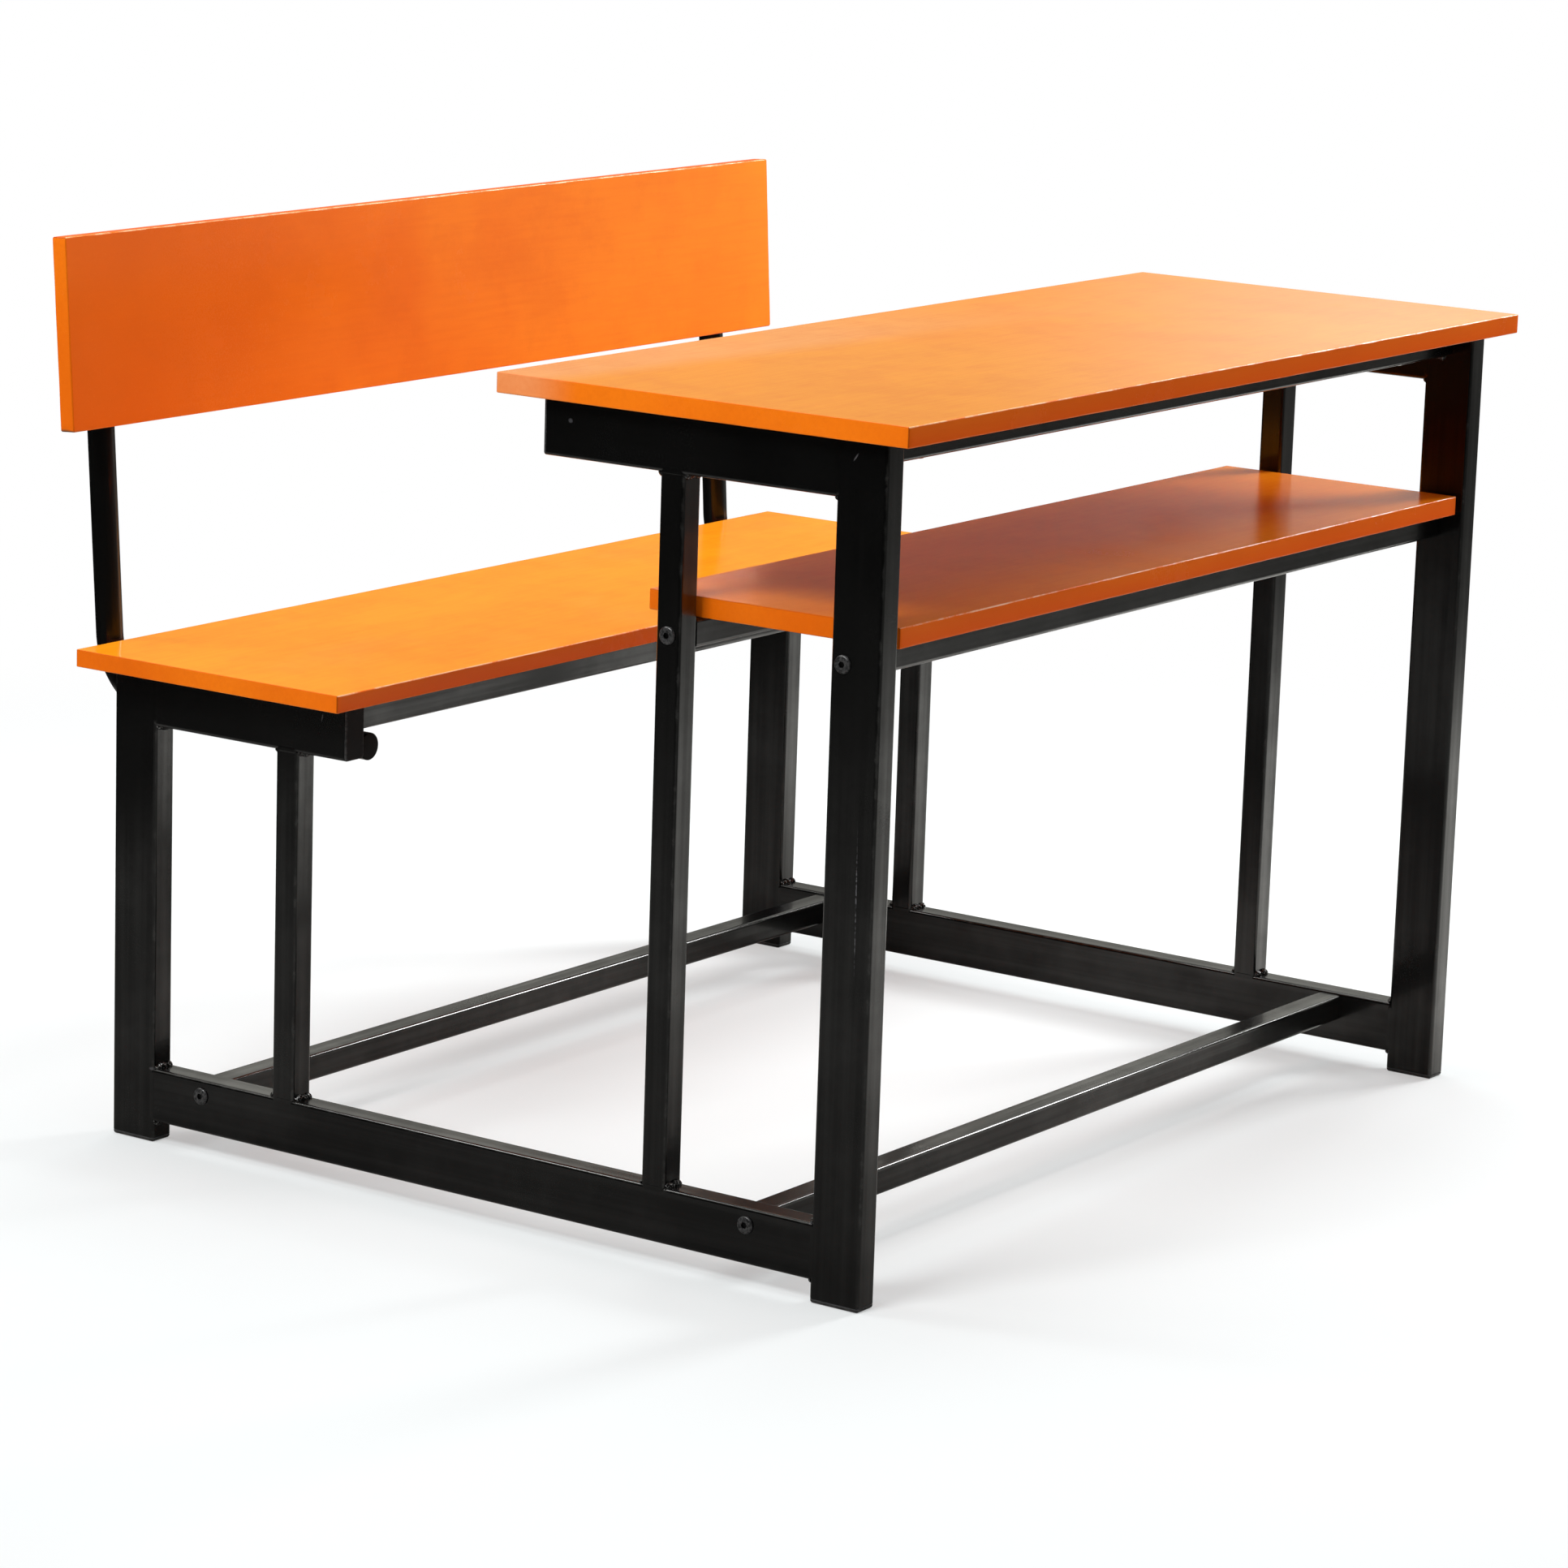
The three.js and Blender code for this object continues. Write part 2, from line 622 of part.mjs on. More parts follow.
function backrestTube(outward) {
  const welds = [seatPostFront, seatPostFront + tubeWeldPitch].flatMap((start) => (
    bothEnds.map((up) => tubeWeld(outward, up, start))
  ));
  const bore = sweepAlongTube(roundTube - 2 * tubeWall, tubeWall);
  const reach = roundTube + 2 * overrun;
  const screwHoles = backrestScrewHeights.map((height) => {
    const middle = onUpright(boardLow + height, 0);
    return new THREE.CylinderGeometry(screwHole / 2, screwHole / 2, reach, screwFacets)
      .rotateX(towardsBoard)
      .translate(...middle);
  });
  return carve(sweepAlongTube(roundTube, 0), welds, [bore, ...screwHoles]);
}

const tubeOffset = innerWidth / 2 - fitGap - tubeRadius; // from the bench's middle to a tube
for (const [side, outward] of [['left', -1], ['right', 1]]) {
  piece(bench, `backrest_tube_${side}`, backrestTube(outward), 'blackSteel')
    .position.x = outward * tubeOffset;
}

// Backrest board, in a group turned so that the board's underside faces the tubes
const backrest = new THREE.Group();
backrest.position.copy(onUpright(boardLow, boardBack));
backrest.rotation.x = bendAngle;
bench.add(backrest);
const backrestScrewPlaces = backrestScrewHeights.flatMap((height) => (
  bothEnds.map((outward) => [outward * tubeOffset, height])
));
const backrestSize = [seatLength, backrestHeight, backrestThickness];
piece(backrest, 'backrest', board(...backrestSize, backrestScrewPlaces), 'orangeBoard');
backrestScrewPlaces.forEach(([x, height], index) => {
  const screw = piece(
    bench, `backrest_screw_${index + 1}`, boardScrew(roundTube + 2 * fitGap), 'zincSteel',
  );
  const seat = onUpright(boardLow + height, -tubeRadius - fitGap);
  screw.position.set(x, seat.y, seat.z);
  screw.rotation.x = towardsBoard;
});

// The origin is the middle of the bench's footprint, on the floor
const schoolBench = new THREE.Group();
schoolBench.add(bench);
schoolBench.updateMatrixWorld(true);
const extent = new THREE.Box3().setFromObject(bench, true);
bench.position.y = -(extent.min.y + extent.max.y) / 2;

export default schoolBench;
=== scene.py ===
import math

import bpy
import numpy as np
from mathutils import Matrix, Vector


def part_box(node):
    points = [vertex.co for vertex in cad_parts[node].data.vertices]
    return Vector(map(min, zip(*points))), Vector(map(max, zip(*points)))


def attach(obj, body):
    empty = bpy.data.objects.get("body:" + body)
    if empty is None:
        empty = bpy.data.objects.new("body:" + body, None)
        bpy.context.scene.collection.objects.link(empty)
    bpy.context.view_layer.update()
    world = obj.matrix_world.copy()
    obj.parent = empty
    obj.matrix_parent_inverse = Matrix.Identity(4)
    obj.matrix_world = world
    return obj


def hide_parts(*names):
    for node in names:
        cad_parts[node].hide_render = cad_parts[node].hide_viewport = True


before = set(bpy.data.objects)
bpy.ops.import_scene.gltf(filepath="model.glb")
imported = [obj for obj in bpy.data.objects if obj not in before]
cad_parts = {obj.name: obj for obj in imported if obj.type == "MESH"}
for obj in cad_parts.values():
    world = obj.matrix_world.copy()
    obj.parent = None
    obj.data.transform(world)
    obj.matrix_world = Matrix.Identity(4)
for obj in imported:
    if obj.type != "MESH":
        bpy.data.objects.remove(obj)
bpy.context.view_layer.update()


# Camera
# A long lens from the front left of the desk, a little above its top, turned a little
# on its own axis as a camera held by hand is.
LENS = 127.13
CAMERA_PLACE = (-4.22496, -2.93454, 1.42497)
YAW_PITCH_ROLL = (55.168, 12.237, 1.872)

camera_data = bpy.data.cameras.new("camera")
camera_data.lens = LENS
camera_data.sensor_width = 36.0
camera_data.clip_end = 100.0
camera = bpy.data.objects.new("camera", camera_data)
bpy.context.scene.collection.objects.link(camera)
bpy.context.scene.camera = camera

yaw, pitch, roll = np.radians(YAW_PITCH_ROLL)
forward = np.array([np.sin(yaw) * np.cos(pitch), np.cos(yaw) * np.cos(pitch), -np.sin(pitch)])
level_right = np.array([np.cos(yaw), -np.sin(yaw), 0.0])
level_up = np.cross(level_right, forward)
right = level_right * np.cos(roll) + level_up * np.sin(roll)
up = level_up * np.cos(roll) - level_right * np.sin(roll)
camera_turn = Matrix(np.stack([right, up, -forward], axis=1).tolist()).to_4x4()
camera.matrix_world = Matrix.Translation(CAMERA_PLACE) @ camera_turn


# Studio
# White paper runs on into a white backdrop, with a main lamp high on the left, a large one
# above and three small ones for the bright rims. Patches of floor and backdrop that only
# reflections see stand for the room, and give the tubes and boards their sheen.
class Socket:
    """A shader socket that stands in Python arithmetic: each operator adds its Math node."""

    def __init__(self, finish, link):
        self.finish = finish
        self.link = link

    def maths(self, operation, first, second):
        return self.finish.node("ShaderNodeMath", {"operation": operation},
                                {0: first, 1: second})

    def __add__(self, other):
        return self.maths("ADD", self, other)

    def __sub__(self, other):
        return self.maths("SUBTRACT", self, other)

    def __rsub__(self, other):
        return self.maths("SUBTRACT", other, self)

    def __mul__(self, other):
        return self.maths("MULTIPLY", self, other)

    __radd__ = __add__


class Finish:
    """One finish: a node tree, and the one method that adds nodes to it."""

    def __init__(self, owner):
        owner.use_nodes = True
        self.owner = owner
        self.tree = owner.node_tree

    def node(self, kind, settings, values, output=0):
        """Adds a node, sets its settings, then its sockets from values or links."""
        made = self.tree.nodes.new(kind)
        for label, setting in settings.items():
            if label == "stops":
                for place, (at, colour) in enumerate(setting):
                    if place > 1:
                        made.color_ramp.elements.new(at)
                    made.color_ramp.elements[place].position = at
                    made.color_ramp.elements[place].color = (*colour, 1.0)
            else:
                setattr(made, label, setting)
        self.fill(made, values)
        return Socket(self, made.outputs[output])

    def fill(self, made, values):
        """Gives a node's sockets their values or links."""
        for label, value in values.items():
            if isinstance(value, Socket):
                self.tree.links.new(value.link, made.inputs[label])
            else:
                made.inputs[label].default_value = value

    def finish_with(self, kind, values):
        """Fills the shader or background that the output already hangs on."""
        self.fill(self.tree.nodes[kind], values)
        return self.owner


FLOOR_HALF = 9.0
FLOOR_COLOUR = (0.497, 0.522, 0.525, 1.0)
FLOOR_GLOW = 0.41
UNSEEN_GREY = (0.50, 0.50, 0.50, 1.0)
WHITE = (1.0, 1.0, 1.0, 1.0)

floor_corners = np.array([[-1, -1, 0], [1, -1, 0], [1, 1, 0], [-1, 1, 0]]) * FLOOR_HALF
floor_mesh = bpy.data.meshes.new("paper_floor")
floor_mesh.from_pydata(floor_corners.tolist(), [], [(0, 1, 2, 3)])
floor = bpy.data.objects.new("paper_floor", floor_mesh)
bpy.context.scene.collection.objects.link(floor)


def smooth_step(finish, value, low, high):
    """0 where the value is low, 1 where it is high, smooth in between."""
    return finish.node("ShaderNodeMapRange", {"interpolation_type": "SMOOTHSTEP"}, {
        "Value": value, "From Min": low, "From Max": high})


def towards(finish, where, direction):
    """How far a place lies in a direction."""
    return finish.node("ShaderNodeVectorMath", {"operation": "DOT_PRODUCT"},
                       {0: where, 1: direction}, "Value")


def distance_from(finish, where, point):
    """How far a place lies from a point."""
    return finish.node("ShaderNodeVectorMath", {"operation": "DISTANCE"},
                       {0: where, 1: point}, "Value")


def grey_ramp(finish, value, dark, pale, warmth=0.0):
    """A grey between two levels, for a value from 0 to 1, less blue where it is warm."""
    tint = np.array([1.0, 1.0 - 0.12 * warmth, 1.0 - warmth])
    return finish.node("ShaderNodeValToRGB", {"stops": [
        (0.0, tuple(dark * tint)), (1.0, tuple(pale * tint))]}, {0: value})


paper = Finish(bpy.data.materials.new("white_paper"))
seen = paper.node("ShaderNodeLightPath", {}, {}, "Is Camera Ray")
mirrored = paper.node("ShaderNodeLightPath", {}, {}, "Is Glossy Ray")
where = paper.node("ShaderNodeTexCoord", {}, {}, "Object")

# The camera sees lit paper, a little greyer on the left, that ends in plain white
distance = distance_from(paper, where, (0.1, 0.1, 0.0))
far_off = smooth_step(paper, distance, 1.1, 2.2)
farther = smooth_step(paper, distance, 2.6, 7.0)
rightwards = smooth_step(paper, towards(paper, where, (0.85, -0.1, 0.0)), -1.3, 0.5)
paper_near = paper.node("ShaderNodeBsdfPrincipled", {}, {
    "Base Color": FLOOR_COLOUR, "Roughness": 0.9, "Specular IOR Level": 0.0,
    "Emission Color": grey_ramp(paper, rightwards, 0.80, 1.0), "Emission Strength": FLOOR_GLOW})
paper_far = paper.node("ShaderNodeEmission", {}, {
    "Color": grey_ramp(paper, rightwards + farther, 0.93, 1.0), "Strength": 1.0})
paper_seen = paper.node("ShaderNodeMixShader", {}, {0: far_off, 1: paper_near, 2: paper_far})
paper_lit = paper.node("ShaderNodeBsdfDiffuse", {}, {"Color": UNSEEN_GREY})

# Reflections see it brightest in a pool at the front right, dimmer near and under the
# bench, and darker still on the left, behind and beside the feet
pool = 1.0 - smooth_step(paper, distance_from(paper, where, (1.15, -0.85, 0.0)), 0.4, 1.8)
below = 1.0 - smooth_step(paper, distance_from(paper, where, (0.0, 0.35, 0.0)), 0.15, 0.60)
across = towards(paper, where, (1.0, 0.0, 0.0))
nearby = smooth_step(paper, across, -2.9, -1.5)
behind = smooth_step(paper, towards(paper, where, (0.0, 1.0, 0.0)), 1.12, 1.38)
left_foot = smooth_step(paper, across, -0.78, -0.60) - smooth_step(paper, across, -0.53, -0.50)
right_foot = smooth_step(paper, across, 0.22, 0.40) - smooth_step(paper, across, 0.50, 0.53)
open_floor = 1.0 - left_foot * 0.2 - right_foot * 0.6
mirrored_paper = (nearby * (1.0 - behind) * open_floor * 0.26
                  + below * 0.22 + pool * 0.64 + (1.0 - nearby) * 0.02)
paper_shine = paper.node("ShaderNodeBsdfDiffuse", {}, {
    "Color": grey_ramp(paper, mirrored_paper, 0.010, 0.90, 0.06)})
unseen = paper.node("ShaderNodeMixShader", {}, {0: mirrored, 1: paper_lit, 2: paper_shine})
whole = paper.node("ShaderNodeMixShader", {}, {0: seen, 1: unseen, 2: paper_seen})
paper.tree.nodes.remove(paper.tree.nodes["Principled BSDF"])
floor_mesh.materials.append(paper.finish_with("Material Output", {"Surface": whole}))

backdrop = Finish(bpy.data.worlds.new("white_backdrop"))
bpy.context.scene.world = backdrop.owner
seen = backdrop.node("ShaderNodeLightPath", {}, {}, "Is Camera Ray")
mirrored = backdrop.node("ShaderNodeLightPath", {}, {}, "Is Glossy Ray")
where = backdrop.node("ShaderNodeTexCoord", {}, {}, "Object")
height = towards(backdrop, where, (0.0, 0.0, 1.0))


def wall_patch(middle, rim, full):
    """A patch of the backdrop about a direction, from its rim to full by their cosines."""
    return smooth_step(backdrop, towards(backdrop, where, middle), rim, full)


# The room's light comes most from low behind the seat
rear_light = (wall_patch((0.40, 0.91, 0.10), 0.1, 0.9)
              * (1.0 - smooth_step(backdrop, height, 0.35, 0.60)))

# Reflections see a dark room with four pale patches: a low one that the desk's top meets,
# a wide one behind it that dims and brightens with height, one at the front and one above
lit_wall = (wall_patch((0.95, 0.28, 0.12), 0.955, 0.981)
            * (1.0 - smooth_step(backdrop, height, 0.15, 0.19)))
right_wall = (wall_patch((0.80, 0.58, 0.14), 0.35, 0.90)
              * (0.22 - smooth_step(backdrop, height, 0.13, 0.18) * 0.18
                 + smooth_step(backdrop, height, 0.20, 0.27) * 0.60))
front_wall = wall_patch((0.86, -0.50, 0.10), 0.955, 0.990)
lit_sky = wall_patch((-0.21, 0.56, 0.80), 0.88, 0.98)
mirrored_wall = lit_wall * 0.92 + right_wall + front_wall * 0.8 + lit_sky
backdrop_seen = backdrop.node("ShaderNodeBackground", {}, {0: WHITE, 1: 1.0})
backdrop_lit = backdrop.node("ShaderNodeBackground", {}, {
    0: WHITE, 1: rear_light * 0.60 + 0.36})
backdrop_shine = backdrop.node("ShaderNodeBackground", {}, {
    0: grey_ramp(backdrop, mirrored_wall, 0.012, 1.0, 0.10), 1: 1.0})
unseen = backdrop.node("ShaderNodeMixShader", {}, {
    0: mirrored, 1: backdrop_lit, 2: backdrop_shine})
whole = backdrop.node("ShaderNodeMixShader", {}, {0: seen, 1: unseen, 2: backdrop_seen})
backdrop.finish_with("World Output", {"Surface": whole})


def soft_lamp(name, place, aim, width, depth, watts):
    """A rectangular lamp at a place, turned so that it shines at a point."""
    data = bpy.data.lights.new(name, "AREA")
    data.shape = "RECTANGLE"
    data.size = width
    data.size_y = depth
    data.energy = watts
    lamp = bpy.data.objects.new(name, data)
    away = np.array(place) - np.array(aim)
    away = away / np.linalg.norm(away)
    side = np.cross([0.0, 1.0, 0.02], away)
    side = side / np.linalg.norm(side)
    turn = Matrix(np.stack([side, np.cross(away, side), away], axis=1).tolist()).to_4x4()
    lamp.matrix_world = Matrix.Translation(place) @ turn
    bpy.context.scene.collection.objects.link(lamp)


soft_lamp("lamp_left", (-2.75, 0.05, 3.0), (0.0, 0.0, 0.45), 1.1, 1.1, 76.0)
soft_lamp("lamp_above", (0.3, 0.35, 2.75), (0.1, 0.1, 0.4), 2.2, 1.4, 36.0)
soft_lamp("lamp_right", (2.3, -1.0, 1.6), (0.3, 0.1, 0.6), 0.6, 0.6, 38.0)
soft_lamp("lamp_side", (1.6, -0.44, 1.6), (0.4, 0.4, 0.7), 0.6, 0.6, 13.0)
soft_lamp("lamp_rear", (-1.15, 1.8, 2.6), (-0.2, 0.1, 0.3), 0.5, 0.5, 12.0)

bpy.context.scene.view_settings.view_transform = "Standard"


# Side frames
# Each is welded from flat and square steel tube with rounded corners: two legs, two posts
# and three rails, then powder coated black in one go, welds and all.
TUBE_SIDE = 0.025
LEG_DEPTH = 0.050
TUBE_WALL = 0.0016
TUBE_CORNER = 0.003
CORNER_STEPS = 6
FLAT_LEAD = 0.0004
BEAD = 0.004
BEAD_PITCH = 0.0021
BEAD_RIPPLE = 0.09
BEAD_DRIFT = 0.17
GROUND_CROWN = 0.00009
GROUND_SINK = 0.0005
GROUND_HALF = 0.0031
GROUND_DEPTH = 0.0018
SHARP_ANGLE = math.radians(40)
AXES = {"x": np.roll(np.eye(3), -1, axis=0),
        "y": np.roll(np.eye(3), -2, axis=0),
        "z": np.eye(3)}


def rounded_outline(width, height, radius):
    """Outline of a rounded rectangle, anticlockwise, and how near a corner each point is.

    Each corner is the quarter circle c + r (cos t, sin t), with one more point a short
    lead along the straight side before and after it, so that flat faces stay flat in shade.
    """
    t = np.linspace(0.0, np.pi / 2, CORNER_STEPS + 1)
    arc = np.stack([np.cos(t), np.sin(t)], axis=1) * radius
    corner = np.concatenate([[[radius, -FLAT_LEAD]], arc, [[-FLAT_LEAD, radius]]])
    quarter = np.arange(4) * np.pi / 2
    turns = np.stack([[np.cos(quarter), -np.sin(quarter)],
                      [np.sin(quarter), np.cos(quarter)]]).transpose(2, 0, 1)
    centres = np.array([[1, 1], [-1, 1], [-1, -1], [1, -1]]) * (
        np.array([width, height]) / 2 - radius)
    points = np.einsum("kab,jb->kja", turns, corner) + centres[:, None, :]
    nearness = np.sin(2 * t) * 0.7 + 0.3
    nearness = np.concatenate([[0.0], nearness, [0.0]])
    return points.reshape(-1, 2), np.tile(nearness, 4)


def along_axis(axis, outline, stations):
    """Grid of an outline carried along an axis: point = s run + x first + y second."""
    first, second, run = AXES[axis]
    flat = outline[:, :1] * first + outline[:, 1:] * second
    return np.asarray(stations)[:, None, None] * run + flat[None, :, :]


def hollow_tube(axis, across, low, high):
    """Grid of a tube with a wall, as one ring of rings: out along the outside, back along
    the bore. The rings next to each end keep its rim crisp. Corners and rims are rubbed
    paler, the rims also as a painted highlight line.
    """
    width, height = across
    outside, nearness = rounded_outline(width, height, TUBE_CORNER)
    inside, _ = rounded_outline(width - 2 * TUBE_WALL, height - 2 * TUBE_WALL,
                                TUBE_CORNER - TUBE_WALL)
    stations = [low, low + FLAT_LEAD, high - FLAT_LEAD, high]
    outer = along_axis(axis, outside, stations)
    inner = along_axis(axis, inside, stations[::-1])
    grid = np.concatenate([outer, inner])
    wear = np.concatenate([np.tile(nearness, (4, 1)), np.zeros((4, len(nearness)))])
    # The rims are marked in full: worn, and painted paler as the highlight line along them
    wear[[0, 3]] = 1.0
    return {"grid": grid, "wear": wear, "ring": True}


def weld_bead(axis, middle, run, along_tube, off_tube, seed):
    """Grid of a fillet weld: a quarter-round section carried along the corner.

    Its radius is BEAD (1 + 0.09 sin(2 pi s run / pitch) + drift(s)) for the ripples that
    the welder leaves, for s from -0.5 to 0.5 along the weld, and it falls away at its ends
    as the square root of 1 - (2 s)^6. The seed sets the ripples' pitch and phase.
    """
    rng = np.random.default_rng(seed)
    s = np.linspace(-0.5, 0.5, 41)
    pitch = BEAD_PITCH + 0.0006 * rng.random()
    drift = BEAD_DRIFT * np.sin(2 * np.pi * (s * 1.7 + rng.random()))
    ripple = BEAD_RIPPLE * np.sin(2 * np.pi * s * run / pitch + 6 * rng.random())
    fall = np.sqrt(np.clip(1 - (2 * s) ** 6, 0.04, 1))
    radius = BEAD * (1 + ripple + drift) * fall
    t = np.linspace(0.0, np.pi / 2, 9)
    section = np.concatenate([[[-0.3, -0.3]], np.stack([np.cos(t), np.sin(t)], axis=1)])
    along = np.asarray(along_tube, float)
    off = np.asarray(off_tube, float)
    line = AXES[axis][2]
    flat = section[:, :1] * along + section[:, 1:] * off
    places = np.asarray(middle) + (s * run)[:, None] * line
    grid = places[:, None, :] + radius[:, None, None] * flat[None, :, :]
    return {"grid": grid, "wear": np.full(grid.shape[:2], 0.35), "ring": False,
            "joint": np.ones(grid.shape[:2])}


def ground_weld(middle, run_axis, run, across_axis, outward, seed):
    """Grid of a weld that is ground flush over the groove between two tubes.

    Its face is at h(a, s) = 0.09 (1 + drift) - 0.5 |a|^6 - 0.5 |s|^16 millimetres above the
    tubes' faces, for a and s from -1 to 1 across and along it, so that its rim sinks in.
    """
    rng = np.random.default_rng(seed)
    a = np.linspace(-1.0, 1.0, 15)
    s = np.linspace(-1.0, 1.0, 31)
    drift = sum(np.sin(s * k + 6.3 * rng.random()) for k in (3.0, 7.0, 13.0)) * 0.12
    height = (GROUND_CROWN * (1 + drift)[:, None] - GROUND_SINK * np.abs(a[None, :]) ** 6
              - GROUND_SINK * np.abs(s[:, None]) ** 16)
    across = np.tile(a * GROUND_HALF, (len(s), 1))
    under = np.full((len(s), 2), -GROUND_DEPTH)
    height = np.concatenate([height, under], axis=1)
    foot = GROUND_HALF - 0.0005
    across = np.concatenate([across, np.tile([foot, -foot], (len(s), 1))], axis=1)
    grid = (np.asarray(middle) + height[:, :, None] * np.array([outward, 0.0, 0.0])
            + across[:, :, None] * AXES[across_axis][2]
            + (s * run / 2)[:, None, None] * AXES[run_axis][2])
    return {"grid": grid, "wear": np.full(grid.shape[:2], 0.25), "ring": False}


def both_faces(point, run_axis, run, across_axis, seed):
    """Ground welds on the outer and the inner face of a side frame."""
    return [ground_weld((point[0] + face * TUBE_SIDE / 2, point[1], point[2]), run_axis, run,
                        across_axis, face, seed + face) for face in (-1, 1)]


def make_piece(name, surfaces, material, nodes):
    """One object from grids of points: each grid's rows are rings that close round.

    A grid marked as a ring also closes from its last row to its first. Any other has
    flat ends. Where the sum of middle . normal, with one triangle for each face, is below
    zero, the grid is inside out, and its rings are turned round. The skin map holds metres
    round and along.

    The marks that the finishes read are kept per point, 1 where they are full: wear on
    edges, also painting highlights on rims, heads, flanges and board edges, band on the long
    sides of boards for painted shade, joint on welds, seams, corner lines and sockets, which
    paints sockets dark as shade and plug seams pale as a highlight, faded on matt ends and,
    from below 0 to above 1, on boards as the share of painted light that falls there, glint
    on the edges that catch the light, and polish on boards rubbed smooth.
    """
    points, faces, skin = [], [], []
    marks = {mark: [] for mark in ("wear", "painted_side_shade", "joint", "matt_and_painted_light", "glint", "polish")}
    start = 0
    for surface in surfaces:
        grid = surface["grid"]
        after, beyond = np.roll(grid, -1, axis=1)[:-1], grid[1:]
        middle = (grid[:-1] + after + beyond) / 3
        if np.sum(middle * np.cross(after - grid[:-1], beyond - grid[:-1])) < 0:
            grid = grid[:, ::-1]
            surface = {key: value[:, ::-1] if isinstance(value, np.ndarray) else value
                       for key, value in surface.items()}
        rows, columns = grid.shape[:2]
        ring = surface["ring"]
        row = np.arange(rows if ring else rows - 1)
        column = np.arange(columns)
        i, j = np.meshgrid(row, column, indexing="ij")
        below, above = i, (i + 1) % rows
        here, following = j, (j + 1) % columns
        corners = [(below, here), (below, following), (above, following), (above, here)]
        quads = np.stack([a * columns + b for a, b in corners], axis=-1).reshape(-1, 4) + start
        closed = np.concatenate([grid, grid[:, :1]], axis=1)
        around = np.linalg.norm(np.diff(closed, axis=1), axis=2)
        around = np.concatenate([np.zeros((rows, 1)), np.cumsum(around, axis=1)], axis=1)
        longer = np.concatenate([grid, grid[:1]])
        onward = np.linalg.norm(np.diff(longer, axis=0), axis=2).mean(axis=1)
        onward = np.concatenate([[0.0], np.cumsum(onward)])
        map_u = np.stack([around[below, j], around[below, j + 1],
                          around[above, j + 1], around[above, j]], axis=-1)
        map_v = np.stack([onward[i], onward[i], onward[i + 1], onward[i + 1]], axis=-1)
        faces += quads.tolist()
        skin.append(np.stack([map_u, map_v], axis=-1).reshape(-1, 2))
        if not ring:
            first = np.arange(columns)
            faces += [(first[::-1] + start).tolist(),
                      (first + (rows - 1) * columns + start).tolist()]
            skin.append(np.zeros((2 * columns, 2)))
        points.append(grid.reshape(-1, 3))
        for mark, values in marks.items():
            values.append(surface.get(mark, np.zeros((rows, columns))).reshape(-1))
        start += rows * columns
    mesh = bpy.data.meshes.new(name)
    mesh.from_pydata(np.concatenate(points).tolist(), [], faces)
    mesh.uv_layers.new(name="skin").data.foreach_set(
        "uv", np.concatenate(skin).astype(np.float32).ravel())
    for mark, values in marks.items():
        mesh.attributes.new(mark, "FLOAT", "POINT").data.foreach_set(
            "value", np.concatenate(values).astype(np.float32))
    mesh.polygons.foreach_set("use_smooth", np.ones(len(mesh.polygons), bool))
    mesh.set_sharp_from_angle(angle=SHARP_ANGLE)
    mesh.materials.append(material)
    piece = bpy.data.objects.new(name, mesh)
    bpy.context.scene.collection.objects.link(piece)
    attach(piece, "root")
    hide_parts(*nodes)


def mark_of(finish, mark):
    """One of the marks that make_piece keeps per point."""
    return finish.node("ShaderNodeAttribute", {"attribute_name": mark}, {}, "Fac")


def speckle(finish, where, scale, detail, roughness=0.55):
    """Fractal noise from 0 to 1, so many cells to the metre."""
    return finish.node("ShaderNodeTexNoise", {}, {
        "Vector": where, "Scale": scale, "Detail": detail, "Roughness": roughness}, "Fac")


def stretched(finish, where, scale):
    """Places scaled along each axis, so that noise on them comes out as streaks."""
    return finish.node("ShaderNodeMapping", {"vector_type": "POINT"}, {
        "Vector": where, "Scale": scale})


def dab(finish, where, centre, size, tilt=0.0):
    """1 inside an ellipsoid that is tilted about X, falling to 0 at its skin: a mark."""
    local = finish.node("ShaderNodeMapping", {"vector_type": "TEXTURE"}, {
        "Vector": where, "Location": centre, "Rotation": (tilt, 0.0, 0.0), "Scale": size})
    radius = finish.node("ShaderNodeVectorMath", {"operation": "LENGTH"}, {0: local}, "Value")
    return 1.0 - smooth_step(finish, radius, 0.35, 1.0)


def blend_colours(finish, share, first, second):
    """The first colour where the share is 0, the second where it is 1."""
    return finish.node("ShaderNodeMix", {"data_type": "RGBA"}, {
        "Factor": share, 6: first, 7: second}, 2)


def overlaid(finish, colour, layers):
    """A colour with others laid over it in turn, each by its own share."""
    for share, red, green, blue in layers:
        colour = blend_colours(finish, share, colour, (red, green, blue, 1))
    return colour


def fine_relief(finish, strength, distance, height):
    """A bump of so many metres at full height."""
    return finish.node("ShaderNodeBump", {}, {
        "Strength": strength, "Distance": distance, "Height": height})


powder = Finish(bpy.data.materials.new("black_powder_coat"))
place = powder.node("ShaderNodeTexCoord", {}, {}, "Object")
skin_map = powder.node("ShaderNodeUVMap", {"uv_map": "skin"}, {})
worn_and_lit = mark_of(powder, "wear")
matt = mark_of(powder, "matt_and_painted_light")

# Cloudy black with an orange peel, wiped and drawn along each tube
clouds = speckle(powder, place, 9.0, 3.0)
grain = speckle(powder, place, 900.0, 2.0)
peel = speckle(powder, place, 330.0, 2.0)
streaks = smooth_step(
    powder, speckle(powder, stretched(powder, skin_map, (160.0, 5.0, 1.0)), 1.0, 4.0, 0.7),
    0.62, 0.80)
sheen = smooth_step(
    powder, speckle(powder, stretched(powder, skin_map, (95.0, 1.6, 1.0)), 1.0, 3.0, 0.6),
    0.36, 0.66)
handled = smooth_step(powder, speckle(powder, place, 6.0, 5.0, 0.65), 0.40, 0.66)
